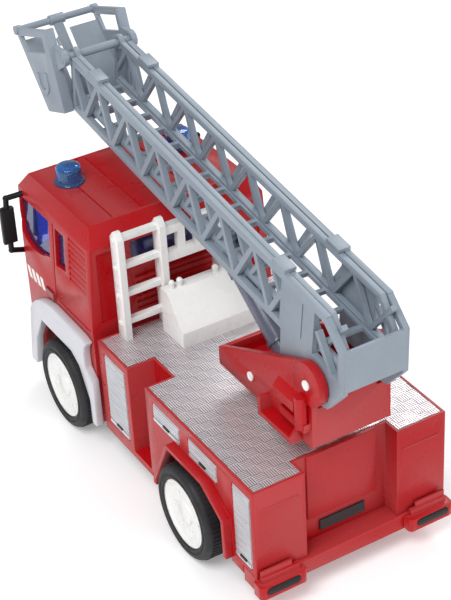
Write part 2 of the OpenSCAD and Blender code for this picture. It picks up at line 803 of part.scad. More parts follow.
// Operator's station on the left: a footboard, a shelf with a rim and a post, and a console above.
module operator_station() {
  y0 = cheek_half - eps;
  shelf = [[-45, y0, 76], [-28.5, 20.6, 79.4]];
  rim = 0.8;
  box([station_x[0], y0, turntable_z], [station_x[1], station_y, floor_top]);
  box([station_x[1] - wall, y0, turntable_z], [station_x[1], station_y, 77]);
  end_on(station_x[0], station_x[0] + 1.4)
    polygon([[y0, floor_top - 0.5], [station_y, floor_top - 0.5], [station_y, floor_top + 1], [y0 + 1, 76.5],
      [y0, 76.5]]);
  difference() {
    box(shelf[0], shelf[1]);
    box([shelf[0][0] + rim, y0 - 1, 78.2], [shelf[1][0] - rim, shelf[1][1] - rim, 80]);
  }
  end_on(-38, -24) polygon([[y0, 81.5], [20.5, 81.5], [20.5, 85.6], [y0, 89]]);
  translate([-42, 19.7, 77]) cylinder(r = 2.5, h = 14, $fn = 32);
}

module turntable() {
  color("#d41f26") difference() {
    union() {
      translate([0, 0, turntable_z]) linear_extrude(2)
        polygon([[front_x, -cheek_half + 1], [front_x, cheek_half - 1], [front_x - 3, cheek_half],
          [rear_x, cheek_half], [rear_x, -cheek_half], [front_x - 3, -cheek_half]]);
      both_sides() {
        side_on(cheek_in, cheek_half) polygon(cheek_outline());
        rod_y(pivot[0], pivot[1], boss_r, cheek_in, boss_y);
        side_on(4.9, 6.9) polygon([[-12, floor_top - eps], [4, floor_top - eps], [1, 81], [-8.6, 81]]);
      }
      box([front_x - 2, -cheek_half + 1, turntable_z], [front_x, cheek_half - 1, front_top]);
      difference() {
        box([rear_x, -cheek_half, turntable_z], [rear_x + 2, cheek_half, 88.4]);
        both_sides() box([rear_x - 1, 11.2, 85.7], [rear_x + 3, cheek_in, 100]);
      }
      operator_station();
      translate([-swivel_back, 0, deck_z - deck_t - wall - 0.4]) cylinder(r = spigot_r, h = turntable_z - 55.2);
    }
    rod_y(pivot[0], pivot[1], pin_r + 0.02, -30, 30);
    rod_y(ram_base[0], ram_base[1], ram_pin_r + 0.02, -19, 19);
    translate([-swivel_back, 0, 50]) cylinder(r = screw_r, h = 15);
  }
}

retainer_top = deck_z - deck_t - wall - 0.4;

module turntable_retainer() {
  color("#2a2a2e") translate([-swivel_back, 0, retainer_top - 2]) difference() {
    cylinder(r = 10.5, h = 2);
    translate([0, 0, -1]) cylinder(r = screw_r + 0.1, h = 4);
  }
}

module turntable_screw() {
  color("#b9bcc0") translate([-swivel_back, 0, retainer_top - 2 - screw_head_h]) screw();
}

module headed_pin(at, r, head_r, end_y) {
  difference() {
    union() {
      rod_y(at[0], at[1], r, -end_y, end_y);
      both_sides() rod_y(at[0], at[1], head_r, end_y - eps, end_y + 0.8);
    }
    both_sides() rod_y(at[0], at[1], head_r - 0.8, end_y + 0.6, end_y + 2);
  }
}

module ladder_pivot_pin() {
  color("#f2f2f0") headed_pin(pivot, pin_r, 2, boss_y + 0.01);
}

module ram_base_pin() {
  color("#f2f2f0") headed_pin(ram_base, ram_pin_r, 1.9, cheek_half + 0.02);
}

// ---------------------------------------------------------------- ram

ram_top_local = [87.3, -0.5];
ladder_dir = [cos(elevation), sin(elevation)];
ladder_up = [-sin(elevation), cos(elevation)];
ram_top = pivot + ram_top_local[0] * ladder_dir + ram_top_local[1] * ladder_up;
ram_angle = atan2(ram_top[1] - ram_base[1], ram_top[0] - ram_base[0]);
ram_len = norm(ram_top - ram_base);
ram_rod_r = 2.6;
ram_body_r = 4.5;
top_pin_r = 1.25;
ram_body_end = ram_len - 13;
ram_bore_start = 4.6;

module ram_frame() {
  translate([ram_base[0], 0, ram_base[1]]) rotate([0, -ram_angle, 0]) children();
}

module ram_cylinder() {
  color([0.62, 0.66, 0.78, 0.6]) ram_frame() difference() {
    union() {
      rotate([0, 90, 0]) translate([0, 0, 3]) cylinder(r = ram_body_r, h = ram_body_end - 3);
      rotate([0, 90, 0]) translate([0, 0, 8]) cylinder(r = ram_body_r + 0.7, h = 1.6);
      rotate([0, 90, 0]) translate([0, 0, ram_body_end - 3]) cylinder(r = ram_body_r + 0.7, h = 3);
      rod_y(0, 0, 4, -4.4, 4.4);
      box([0, -4.4, -4], [4, 4.4, 4]);
    }
    rod_y(0, 0, ram_pin_r + run_gap, -10, 10);
    rotate([0, 90, 0]) translate([0, 0, ram_bore_start]) cylinder(r = ram_rod_r + run_gap, h = ram_len);
  }
}

// The rod's head has a slot across the ram, which leaves room for the pin's small sideways travel.
module ram_rod() {
  slot_half = 2.6;
  color("#b7bac4") ram_frame() difference() {
    union() {
      rotate([0, 90, 0]) translate([0, 0, 8]) cylinder(r = ram_rod_r, h = ram_len - 8 - 2.6);
      side_on(-2.6, 2.6) translate([ram_len, 0]) union() {
        translate([-3.2, -slot_half - 2.8]) square([6.4, 2 * slot_half + 5.6]);
        translate([-5, -3]) square([3, 6]);
      }
    }
    side_on(-4, 4) translate([ram_len, 0]) {
      for (s = [-1, 1]) translate([0, s * slot_half]) circle(r = top_pin_r + 0.55);
      translate([-top_pin_r - 0.55, -slot_half]) square([2 * top_pin_r + 1.1, 2 * slot_half]);
    }
  }
}

// ---------------------------------------------------------------- ladder
// Each section is drawn along its own length from the pivot pin: p forward, q up.

rail_h = 3;
outer_low = 7;
outer_high = 32.5;
inner_low = 10.6;
inner_high = outer_high - 0.1;
inner_half = outer_half - frame_t - pass_gap;
inner_t = 2.3;
first_top = 21;
bays = 7;
rung_half = 0.95;
rung_h = 1.9;
rung_step = 3.4;
hinge = [191.2, 31];
hinge_r = 1.8;
inner_tail = -11.5;
inner_tip = 195;
clip_at = [28.1, 168.6];
clip_half = 4.2;
clip_z = inner_high + pass_gap;

module ladder_frame() {
  translate([pivot[0], 0, pivot[1]]) rotate([0, -elevation, 0]) children();
}

// A straight strut between two points of a drawing.
module strut(a, b, w) {
  d = b - a;
  translate(a) rotate(atan2(d[1], d[0])) translate([0, -w / 2]) square([norm(d), w]);
}

module lattice(low, high, first, count, w) {
  for (k = [0 : count - 1]) let (top = first + k * lattice_pitch, foot = top + lattice_pitch / 2) {
    strut([top, high], [foot, low], w);
    strut([foot, low], [top + lattice_pitch, high], w);
  }
}

tail = [[-16.1, 4.8], [-14.2, 23.7], [-2.4, 32.4]];

// Side drawing of the outer section: rails, lattice, pivot plate and sloping tail.
module outer_side() {
  strut([-14, outer_low + rail_h / 2], [outer_reach, outer_low + rail_h / 2], rail_h);
  strut([-3, outer_high - rail_h / 2], [outer_reach, outer_high - rail_h / 2], rail_h);
  translate([outer_reach - 2.6, outer_low]) square([2.6, outer_high - outer_low]);
  intersection() {
    lattice(outer_low + 1.5, outer_high - 1.5, first_top, bays, 2.2);
    translate([first_top, outer_low]) square([outer_reach - first_top, outer_high - outer_low]);
  }
  difference() {
    polygon([tail[0], tail[1], tail[2], [8, outer_high], [8, outer_low], [-13, outer_low]]);
    polygon([[-12.6, outer_low + rail_h], [-11.2, 22.4], [-1.4, outer_high - rail_h], [4, outer_high - rail_h],
      [4, outer_low + rail_h]]);
  }
  strut([-9, outer_low + 1], [2.5, 22], 2.2);
  polygon([[4, outer_low], [25.4, outer_low], [25.4, outer_high - 1], [4, outer_high - 1]]);
  circle(r = 7.4);
  polygon([tail[0], [-15.8, outer_low + 1], [24.4, outer_low + 1], [23.6, -7.4], [11, -5.6], [4, -6.6],
    [-2.4, -9.4], [-7.9, -7.6]]);
}

module ladder_outer() {
  color("#93a3ad") ladder_frame() difference() {
    union() {
      both_sides() {
        side_on(outer_half - frame_t, outer_half) outer_side();
        for (p = clip_at) translate([p, 0, 0]) {
          box([-clip_half, inner_half - inner_t - 0.2, clip_z], [clip_half, outer_half, clip_z + 1.6]);
          box([-clip_half, outer_half - frame_t, outer_high - 1], [clip_half, outer_half, clip_z + 1]);
        }
        box([79.6, 3.4, -3.4], [95, 5.4, outer_low + 1]);
      }
      for (k = [-1 : 13]) let (p = first_top + k * lattice_pitch / 2)
        box([p - rung_half, -outer_half + 1, outer_low], [p + rung_half, outer_half - 1, outer_low + rung_h]);
      side_on(-outer_half + 1, outer_half - 1)
        polygon([[-16.1, 6], [-14.6, 6], [-12.7, 23.4], [-14.2, 23.7]]);
    }
    rod_y(0, 0, pin_r + run_gap, -30, 30);
    rod_y(ram_top_local[0], ram_top_local[1], top_pin_r + 0.02, -10, 10);
    both_sides() box([11, outer_half - 0.5, outer_low + 4.6], [11.6, outer_half + 1, outer_high - 4.4]);
  }
}

module ram_top_pin() {
  color("#c8cacd") ladder_frame() rod_y(ram_top_local[0], ram_top_local[1], top_pin_r, -5.4, 5.4);
}

// Side drawing of the sliding section. The lattice stops just inside the rails' outer edges.
module inner_side() {
  low = inner_low;
  leg = 2.6;
  inside = 0.4;
  strut([inner_tail + leg / 2, low + 1.3], [inner_tip - 1, low + 1.3], 2.6);
  strut([inner_tail + 10, inner_high - 1.4], [inner_tip, inner_high - 1.4], 2.8);
  polygon([[inner_tail, low], [inner_tail + leg, low], [inner_tail + leg, 21], [inner_tail + 13, inner_high],
    [inner_tail + 9.4, inner_high], [inner_tail, 22]]);
  translate([inner_tip - 3.4, low]) square([2.4, inner_high - low]);
  intersection() {
    lattice(low + 1.3, inner_high - 1.4, first_top - lattice_pitch * 1.25, bays + 2, 2);
    translate([inner_tail + leg / 2, low + inside])
      square([inner_tip - 2.2 - inner_tail - leg / 2, inner_high - low - 2 * inside]);
  }
}

// One side frame of the sliding section, with the eye for the basket's hinge bar.
module ladder_inner_frame(side) {
  on_side(side) color("#93a3ad") ladder_frame() difference() {
    side_on(inner_half - inner_t, inner_half) {
      inner_side();
      translate(hinge) circle(r = 3.4);
    }
    rod_y(hinge[0], hinge[1], hinge_r + 0.02, 0, 30);
  }
}

// The rungs of the sliding section, joined by a strip along each side frame's foot.
module ladder_inner_rungs() {
  between = inner_half - inner_t;
  strip_t = 1.2;
  color("#93a3ad") ladder_frame() {
    both_sides()
      box([inner_tail + 3, between - strip_t, inner_low], [inner_tip - 3.6, between, inner_low + rung_h]);
    for (k = [-2 : 14]) let (p = first_top + k * lattice_pitch / 2 - rung_step)
      box([p - rung_half, -between + eps, inner_low], [p + rung_half, between - eps, inner_low + rung_h]);
  }
}

// ---------------------------------------------------------------- basket
// Drawn from its hinge: a forward, b up, then turned down by the droop.

basket_half = 19.4;
basket_in = outer_half + 0.6;
side_t = 1.6;
lug_r = 3.5;

module basket_frame() {
  ladder_frame() translate([hinge[0], 0, hinge[1]]) rotate([0, basket_droop, 0]) children();
}

// Side outline of the basket: upright back, sloping front.
basket_side = [[6, -23.5], [23.2, -23.5], [38.8, 13], [6, 12.6]];

module basket_hinge_bar() {
  color("#93a3ad") ladder_frame() rod_y(hinge[0], hinge[1], hinge_r, -17.6, 17.6);
}

module basket() {
  color("#93a3ad") basket_frame() difference() {
    union() {
      both_sides() {
        side_on(basket_half - side_t, basket_half) difference() {
          polygon(basket_side);
          polygon([[10.6, 2.4], [31.2, 2.4], [34.4, 9.6], [10.6, 9.4]]);
        }
        // back column and the lug that carries the hinge
        box([6, basket_in, -23.5], [8.4, basket_half, 12.6]);
        side_on(basket_in, basket_in + 2.4) polygon([[0, -lug_r], [7, -5.4], [7, 5.4], [0, lug_r]]);
        rod_y(0, 0, lug_r, basket_in, basket_in + 2.4);
        // hook relief on the side
        side_on(basket_half - eps, basket_half + 0.6) translate([20.6, -10.6]) difference() {
          union() {
            circle(r = 5.4);
            translate([-5.4, 0]) square([10.8, 4.2]);
          }
          circle(r = 3.2);
          translate([-3.2, 0]) square([6.4, 6]);
        }
      }
      // floor
      box([11.4, -basket_half, -23.5], [23.2, basket_half, -21.9]);
      // front panels left and right of the middle post, following the sloping front
      both_sides() side_on(4.6, basket_half) polygon([[21.6, -23.5], [23.2, -23.5], [36.3, 7.1], [34.7, 7.1]]);
      side_on(-2, 2) polygon([[21.4, -23.5], [23.2, -23.5], [38.4, 12], [36.4, 12]]);
      // top rail with a collar in the middle
      rod_y(37.4, 12, 1.5, -basket_half, basket_half);
      rod_y(37.4, 12, 2.3, -3.4, 3.4);
      both_sides() rod_y(37.4, 12, 2, basket_half - 2, basket_half + 0.7);
      // nozzle on the middle post
      side_on(-1.7, 1.7) polygon([[32.8, 1.6], [38.2, 0], [39.4, 3.4], [34.4, 5.2]]);
    }
    rod_y(0, 0, hinge_r + run_gap, -30, 30);
    for (y = [-16 : 4 : 16], a = [13.4 : 3.4 : 21]) box([a, y, -22.1], [a + 2, y + 0.8, -21]);
  }
}

// ---------------------------------------------------------------- all the pieces

place() {
  chassis();
  chassis_screws();
  axle(wheelbase);  // front_axle
  axle(0);  // rear_axle
  hub(wheelbase, 1);  // hub_front_left
  hub(wheelbase, -1);  // hub_front_right
  hub(0, 1);  // hub_rear_left
  hub(0, -1);  // hub_rear_right
  tyre(wheelbase, 1);  // tyre_front_left
  tyre(wheelbase, -1);  // tyre_front_right
  tyre(0, 1);  // tyre_rear_left
  tyre(0, -1);  // tyre_rear_right
  axle_gear();
  idler_gear();
  flywheel();
  motor_case();
  motor_cover();
  cab_shell();
  cab_glazing();
  cab_interior();
  grille();
  headlamps();
  fender(1);  // fender_left
  fender(-1);  // fender_right
  mirror_unit(1);  // mirror_left
  mirror_unit(-1);  // mirror_right
  beacon(1);  // beacon_left
  beacon(-1);  // beacon_right
  beacon_cores();
  rear_body();
  deck_plate();
  shutter(1, 1);  // shutter_left_1
  shutter(1, 2);  // shutter_left_2
  shutter(1, 3);  // shutter_left_3
  shutter(1, 4);  // shutter_left_4
  shutter(-1, 1);  // shutter_right_1
  shutter(-1, 2);  // shutter_right_2
  shutter(-1, 3);  // shutter_right_3
  shutter(-1, 4);  // shutter_right_4
  rear_bumper();
  tail_lamps();
  rear_plate();
  boom_rest();
  pump_unit();
  turntable_ring();
  turntable();
  turntable_retainer();
  turntable_screw();
  ladder_pivot_pin();
  ram_base_pin();
  ram_cylinder();
  ram_rod();
  ram_top_pin();
  ladder_outer();
  ladder_inner_frame(1);  // ladder_inner_left
  ladder_inner_frame(-1);  // ladder_inner_right
  ladder_inner_rungs();
  basket_hinge_bar();
  basket();
}
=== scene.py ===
"""Looks of a toy fire engine with a turntable ladder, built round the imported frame.

Every piece is in metres in the frame's own axes: +X forward, +Y left, +Z up, tyres on the floor.
"""

import json
import math

import bmesh
import bpy
from bpy.props import FloatProperty, FloatVectorProperty, IntProperty, PointerProperty
from mathutils import Matrix, Vector


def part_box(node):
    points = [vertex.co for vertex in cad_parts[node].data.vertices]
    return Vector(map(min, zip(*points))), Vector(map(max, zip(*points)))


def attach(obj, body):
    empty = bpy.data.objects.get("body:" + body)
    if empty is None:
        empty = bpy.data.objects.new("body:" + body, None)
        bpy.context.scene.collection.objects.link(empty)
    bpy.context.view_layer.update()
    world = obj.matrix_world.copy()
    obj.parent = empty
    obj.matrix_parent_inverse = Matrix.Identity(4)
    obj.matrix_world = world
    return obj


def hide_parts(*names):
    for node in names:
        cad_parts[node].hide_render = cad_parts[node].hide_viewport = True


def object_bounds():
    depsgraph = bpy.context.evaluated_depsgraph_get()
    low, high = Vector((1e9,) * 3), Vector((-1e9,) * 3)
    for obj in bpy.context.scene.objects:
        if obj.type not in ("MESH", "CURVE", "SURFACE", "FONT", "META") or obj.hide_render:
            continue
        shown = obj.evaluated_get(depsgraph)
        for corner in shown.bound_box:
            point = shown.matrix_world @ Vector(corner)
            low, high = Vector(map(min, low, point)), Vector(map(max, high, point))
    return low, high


bl_info = {
    "name": "Toy Fire Engine Looks",
    "version": (1, 0, 0),
    "blender": (4, 5, 0),
    "location": "3D View > Sidebar > Fire Engine",
    "description": "Pieces, finishes and stage of a moulded toy fire engine",
    "category": "Object",
}

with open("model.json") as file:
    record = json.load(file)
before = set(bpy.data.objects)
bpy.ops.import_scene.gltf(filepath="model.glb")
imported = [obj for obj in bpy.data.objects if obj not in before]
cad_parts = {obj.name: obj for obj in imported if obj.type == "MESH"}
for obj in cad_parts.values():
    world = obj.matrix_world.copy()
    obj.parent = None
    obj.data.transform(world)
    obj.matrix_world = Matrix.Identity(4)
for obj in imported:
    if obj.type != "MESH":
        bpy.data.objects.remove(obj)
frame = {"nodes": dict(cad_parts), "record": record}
CAD_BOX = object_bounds()
MM = 0.001

WHEELS = [f"{end}_{side}" for end in ("front", "rear") for side in ("left", "right")]
SIDES = {"left": 1.0, "right": -1.0}

ABS_IOR = 1.53
POLYSTYRENE_IOR = 1.59
POLYPROPYLENE_IOR = 1.49
RUBBER_IOR = 1.52

CAMERA_AT = Vector((-0.5357, 0.29275, 0.47349))
CAMERA_HEADING, CAMERA_DIP, CAMERA_ROLL = (math.radians(a) for a in (-29.4, 33.49, 3.46))
LENS_MM = 105.6
SENSOR_MM = 36.0

# Each softbox: its name, its place from the model's middle, its side in metres and its watts.
SOFTBOXES = [
    ("key", (-0.35, 0.5, 0.85), 0.55, 7.0),
    ("fill", (-0.8, -0.45, 0.5), 0.8, 2.0),
    ("glare", (0.61, -0.65, 0.8), 0.45, 4.0),
]
SURROUND_STRENGTH = 0.42


# ------------------------------------------------------------------ shader helpers


def linear(hex_colour, alpha=1.0):
    """Linear RGBA of an sRGB hex colour."""
    channels = [int(hex_colour[i : i + 2], 16) / 255 for i in (1, 3, 5)]
    return tuple(
        c / 12.92 if c <= 0.04045 else ((c + 0.055) / 1.055) ** 2.4 for c in channels
    ) + (alpha,)


def add(tree, kind, settings=None, **inputs):
    """Adds a node, applies its settings, and sets or links its inputs by name or index."""
    made = tree.nodes.new(kind)
    for key, value in (settings or {}).items():
        setattr(made, key, value)
    for key, value in inputs.items():
        name = key[1:] if key[0] == "_" else key.replace("_", " ")
        socket = made.inputs[int(name)] if name.isdigit() else made.inputs[name]
        if isinstance(value, bpy.types.NodeSocket):
            tree.links.new(value, socket)
        else:
            socket.default_value = value
    return made


def new_finish(name):
    """An empty material with its tree, its Principled shader and its Object coordinates."""
    finish = bpy.data.materials.new(name)
    finish.use_nodes = True
    tree = finish.node_tree
    shader = tree.nodes["Principled BSDF"]
    place = add(tree, "ShaderNodeTexCoord").outputs["Object"]
    return finish, tree, shader, place


def per_mm(size):
    """Texture scale at which one unit of pattern is this many millimetres long."""
    return 1.0 / (size * MM)


def colour_drift(tree, place, colour, spread, patch_mm):
    """The moulded colour, a little lighter and darker in soft patches and along sharp edges."""
    cloud = add(tree, "ShaderNodeTexNoise", Vector=place, Scale=per_mm(patch_mm), Detail=3.0)
    drift = add(tree, "ShaderNodeMapRange", Value=cloud.outputs["Fac"], To_Min=1 - spread, To_Max=1 + spread)
    tinted = add(tree, "ShaderNodeHueSaturation", Color=colour, Value=drift.outputs["Result"])
    # A lighter tone is mixed into the colour along every sharp convex edge.
    edge = add(tree, "ShaderNodeNewGeometry").outputs["Pointiness"]
    edge_lift = add(tree, "ShaderNodeMapRange", Value=edge, From_Min=0.52, From_Max=0.62, To_Max=0.16)
    edge_lightened = add(tree, "ShaderNodeMix", {"data_type": "RGBA"}, Factor=edge_lift.outputs["Result"])
    tree.links.new(tinted.outputs["Color"], edge_lightened.inputs[6])
    edge_lightened.inputs[7].default_value = tuple(min(1.0, 0.25 + 0.8 * c) for c in colour[:3]) + (1.0,)
    return edge_lightened.outputs[2]


def skin_relief(tree, place, shader, grain_mm, depth_mm, wave_mm=0.0):
    """Fine surface texture of the tool, with slow sink-mark waves where the wall is thin."""
    grain = add(tree, "ShaderNodeTexNoise", Vector=place, Scale=per_mm(grain_mm), Detail=4.0)
    bump = add(tree, "ShaderNodeBump", Height=grain.outputs["Fac"], Distance=depth_mm * MM, Strength=0.2)
    if wave_mm:
        sink = add(tree, "ShaderNodeTexNoise", Vector=place, Scale=per_mm(wave_mm), Detail=1.0)
        slow = add(tree, "ShaderNodeBump", Height=sink.outputs["Fac"], Distance=0.25 * MM, Strength=0.25)
        tree.links.new(slow.outputs["Normal"], bump.inputs["Normal"])
    tree.links.new(bump.outputs["Normal"], shader.inputs["Normal"])


def handled_gloss(tree, place, shader, low, high, patch_mm=9.0):
    """Roughness that wanders between a wiped and a handled surface."""
    smear = add(tree, "ShaderNodeTexNoise", Vector=place, Scale=per_mm(patch_mm), Detail=5.0, Roughness=0.6)
    gloss = add(tree, "ShaderNodeMapRange", Value=smear.outputs["Fac"], From_Min=0.3, From_Max=0.7,
                To_Min=low, To_Max=high)
    tree.links.new(gloss.outputs["Result"], shader.inputs["Roughness"])


# ------------------------------------------------------------------ finishes


def moulded_plastic(name, colour, drift, gloss, grain, wave_mm=0.0, smear_mm=9.0):
    """A plain moulded finish from its colour drift, its gloss range and its grain's width and depth in mm."""
    finish, tree, shader, place = new_finish(name)
    tree.links.new(colour_drift(tree, place, colour, *drift), shader.inputs["Base Color"])
    handled_gloss(tree, place, shader, *gloss, smear_mm)
    skin_relief(tree, place, shader, *grain, wave_mm)
    return finish, shader


def gloss_red_abs(looks):
    """Red ABS, injection moulded in a polished tool: an even gloss, faint sink marks."""
    finish, shader = moulded_plastic("red gloss ABS", tuple(looks.red), (0.06, 26.0), (0.24, 0.38),
                                     (0.25, 0.008), wave_mm=14.0)
    shader.inputs["IOR"].default_value = ABS_IOR
    shader.inputs["Specular IOR Level"].default_value = 0.2
    return finish


def dark_red_abs(looks):
    """Deeper red ABS of the clipped-on handles."""
    finish, shader = moulded_plastic("dark red ABS", linear("#8E1620"), (0.08, 8.0), (0.28, 0.42),
                                     (0.5, 0.012))
    shader.inputs["IOR"].default_value = ABS_IOR
    return finish


def gloss_white_abs(looks):
    """White ABS from a polished tool: slightly translucent, soft shadows in the corners."""
    finish, shader = moulded_plastic("white gloss ABS", tuple(looks.white), (0.02, 20.0), (0.22, 0.36),
                                     (0.25, 0.006), wave_mm=12.0)
    shader.inputs["IOR"].default_value = ABS_IOR
    shader.inputs["Subsurface Weight"].default_value = 0.08
    shader.inputs["Subsurface Radius"].default_value = (1.2 * MM, 1.1 * MM, 0.9 * MM)
    return finish


def satin_grey_abs(looks):
    """Pale silver-grey ABS of the wheel arches, with a fine metallic fleck."""
    finish, tree, shader, place = new_finish("satin silver-grey ABS")
    base = colour_drift(tree, place, tuple(looks.fender_grey), 0.03, 15.0)
    fleck = add(tree, "ShaderNodeTexVoronoi", Vector=place, Scale=per_mm(0.35))
    spark = add(tree, "ShaderNodeMapRange", Value=fleck.outputs["Distance"], From_Max=0.25, To_Min=0.2)
    mixed = add(tree, "ShaderNodeMix", {"data_type": "RGBA"}, Factor=spark.outputs["Result"])
    tree.links.new(base, mixed.inputs[7])
    mixed.inputs[6].default_value = linear("#F6F7FA")
    tree.links.new(mixed.outputs[2], shader.inputs["Base Color"])
    handled_gloss(tree, place, shader, 0.3, 0.42)
    skin_relief(tree, place, shader, 0.5, 0.012)
    shader.inputs["Metallic"].default_value = 0.12
    return finish


def satin_grey_nylon(looks):
    """Blue-grey glass-filled nylon of the ladder: satin, with faint flow streaks along the rails."""
    finish, tree, shader, place = new_finish("satin blue-grey nylon")
    base = colour_drift(tree, place, tuple(looks.ladder_grey), 0.05, 12.0)
    stretched = add(tree, "ShaderNodeMapping", Vector=place, Scale=(0.12, 1.0, 1.0))
    flow = add(tree, "ShaderNodeTexNoise", Vector=stretched.outputs["Vector"], Scale=per_mm(1.6), Detail=4.0)
    streak = add(tree, "ShaderNodeMapRange", Value=flow.outputs["Fac"], To_Min=0.94, To_Max=1.07)
    tinted = add(tree, "ShaderNodeHueSaturation", Color=base, Value=streak.outputs["Result"])
    tree.links.new(tinted.outputs["Color"], shader.inputs["Base Color"])
    handled_gloss(tree, place, shader, 0.36, 0.5)
    skin_relief(tree, place, shader, 0.35, 0.02)
    return finish


def satin_black_abs(looks):
    """Black ABS with a light spark-eroded grain: soft grey sheen, no mirror highlights."""
    finish, shader = moulded_plastic("satin black ABS", linear("#0F0F11"), (0.15, 10.0), (0.34, 0.5),
                                     (0.3, 0.02))
    shader.inputs["Specular IOR Level"].default_value = 0.25
    return finish


def tyre_rubber(looks):
    """Soft black PVC rubber: matt, greyer where it has picked up dust."""
    finish, tree, shader, place = new_finish("matt tyre rubber")
    cloud = add(tree, "ShaderNodeTexNoise", Vector=place, Scale=per_mm(7.0), Detail=6.0)
    dust = add(tree, "ShaderNodeValToRGB", Fac=cloud.outputs["Fac"])
    dust.color_ramp.elements[0].position = 0.35
    dust.color_ramp.elements[0].color = linear("#18181B")
    dust.color_ramp.elements[1].position = 0.8
    dust.color_ramp.elements[1].color = linear("#28282C")
    tree.links.new(dust.outputs["Color"], shader.inputs["Base Color"])
    handled_gloss(tree, place, shader, 0.55, 0.75, 5.0)
    skin_relief(tree, place, shader, 0.25, 0.03)
    shader.inputs["IOR"].default_value = RUBBER_IOR
    return finish


def tread_foil(looks):
    """Silver printed foil on the deck: a basket weave of short raised bars, five to a cell."""
    finish, tree, shader, place = new_finish("tread-printed silver foil")
    cell = looks.tread_cell
    bar = cell / 5.0
    weave = add(tree, "ShaderNodeTexChecker", Vector=place, Scale=1.0 / cell)
    split = add(tree, "ShaderNodeSeparateXYZ", Vector=place)
    stripes = []
    for axis in ("X", "Y"):
        turn = add(tree, "ShaderNodeMath", {"operation": "MULTIPLY"}, _0=split.outputs[axis],
                   _1=2 * math.pi / bar)
        stripes.append(add(tree, "ShaderNodeMath", {"operation": "SINE"}, _0=turn.outputs[0]))
    both = add(tree, "ShaderNodeMix", {"data_type": "FLOAT"}, _0=weave.outputs["Fac"],
               _2=stripes[0].outputs[0], _3=stripes[1].outputs[0])
    shaded = add(tree, "ShaderNodeMapRange", Value=both.outputs[0], From_Min=-0.7, From_Max=0.3)
    wander = add(tree, "ShaderNodeTexNoise", Vector=place, Scale=per_mm(11.0), Detail=3.0)
    tint = add(tree, "ShaderNodeValToRGB", Fac=wander.outputs["Fac"])
    tint.color_ramp.elements[0].position = 0.35
    tint.color_ramp.elements[0].color = linear("#7E797D")
    tint.color_ramp.elements[1].position = 0.65
    tint.color_ramp.elements[1].color = linear("#9A858D")
    ink = add(tree, "ShaderNodeMix", {"data_type": "RGBA"}, _0=shaded.outputs["Result"])
    tree.links.new(tint.outputs["Color"], ink.inputs[6])
    ink.inputs[7].default_value = tuple(looks.silver)
    tree.links.new(ink.outputs[2], shader.inputs["Base Color"])
    press = add(tree, "ShaderNodeBump", Height=shaded.outputs["Result"], Distance=0.08 * MM, Strength=0.5)
    tree.links.new(press.outputs["Normal"], shader.inputs["Normal"])
    handled_gloss(tree, place, shader, 0.28, 0.42)
    shader.inputs["Metallic"].default_value = 0.45
    return finish


def silver_foil(looks):
    """Silver foil on the shutters: bright, with a slight brushed drag across the slats."""
    finish, tree, shader, place = new_finish("silver shutter foil")
    drag = add(tree, "ShaderNodeMapping", Vector=place, Scale=(0.05, 1.0, 1.0))
    lines = add(tree, "ShaderNodeTexNoise", Vector=drag.outputs["Vector"], Scale=per_mm(0.5), Detail=3.0)
    shade = add(tree, "ShaderNodeValToRGB", Fac=lines.outputs["Fac"])
    shade.color_ramp.elements[0].position = 0.3
    shade.color_ramp.elements[0].color = linear("#BCBEC3")
    shade.color_ramp.elements[1].position = 0.7
    shade.color_ramp.elements[1].color = linear("#E2E4E8")
    tree.links.new(shade.outputs["Color"], shader.inputs["Base Color"])
    handled_gloss(tree, place, shader, 0.25, 0.38)
    shader.inputs["Metallic"].default_value = 0.55
    return finish


def clear_plastic(name, colour, through, rough, ior):
    """A transparent moulding: tinted all through, with slow ripples in its faces."""
    finish, tree, shader, place = new_finish(name)
    ripple = add(tree, "ShaderNodeTexNoise", Vector=place, Scale=per_mm(6.0), Detail=2.0)
    bump = add(tree, "ShaderNodeBump", Height=ripple.outputs["Fac"], Distance=0.1 * MM, Strength=0.4)
    tree.links.new(bump.outputs["Normal"], shader.inputs["Normal"])
    depth = add(tree, "ShaderNodeMapRange", Value=ripple.outputs["Fac"], To_Min=0.9, To_Max=1.1)
    tint = add(tree, "ShaderNodeHueSaturation", Color=colour, Value=depth.outputs["Result"])
    tree.links.new(tint.outputs["Color"], shader.inputs["Base Color"])
    shader.inputs["Transmission Weight"].default_value = through
    shader.inputs["Roughness"].default_value = rough
    shader.inputs["IOR"].default_value = ior
    return finish


def tinted_glazing(looks):
    """Blue-tinted polystyrene window moulding: clear enough to show the dark cabin behind it."""
    return clear_plastic("blue tinted polystyrene", tuple(looks.glazing), 0.9, 0.05, POLYSTYRENE_IOR)


def beacon_blue(looks):
    """Transparent blue polystyrene of the roof beacons."""
    return clear_plastic("transparent blue polystyrene", tuple(looks.beacon), 0.8, 0.06, POLYSTYRENE_IOR)


def lamp_clear(looks):
    """Clear polystyrene lens over a bright lamp recess."""
    return clear_plastic("clear polystyrene", linear("#EEF2F4"), 0.75, 0.08, POLYSTYRENE_IOR)


def smoky_plastic(looks):
    """Smoky translucent polypropylene of the ram barrel: light goes in but nothing shows sharp."""
    return clear_plastic("smoky polypropylene", linear("#8F94AC"), 0.55, 0.22, POLYPROPYLENE_IOR)


def plated_steel(looks):
    """Zinc-plated steel of axles and screws: bright with fine turning marks."""
    finish, tree, shader, place = new_finish("zinc plated steel")
    turned = add(tree, "ShaderNodeMapping", Vector=place, Scale=(1.0, 0.1, 1.0))
    marks = add(tree, "ShaderNodeTexNoise", Vector=turned.outputs["Vector"], Scale=per_mm(0.2), Detail=2.0)
    shade = add(tree, "ShaderNodeValToRGB", Fac=marks.outputs["Fac"])
    shade.color_ramp.elements[0].color = linear("#8E9196")
    shade.color_ramp.elements[1].color = linear("#D0D2D5")
    tree.links.new(shade.outputs["Color"], shader.inputs["Base Color"])
    handled_gloss(tree, place, shader, 0.22, 0.4, 3.0)
    shader.inputs["Metallic"].default_value = 1.0
    return finish


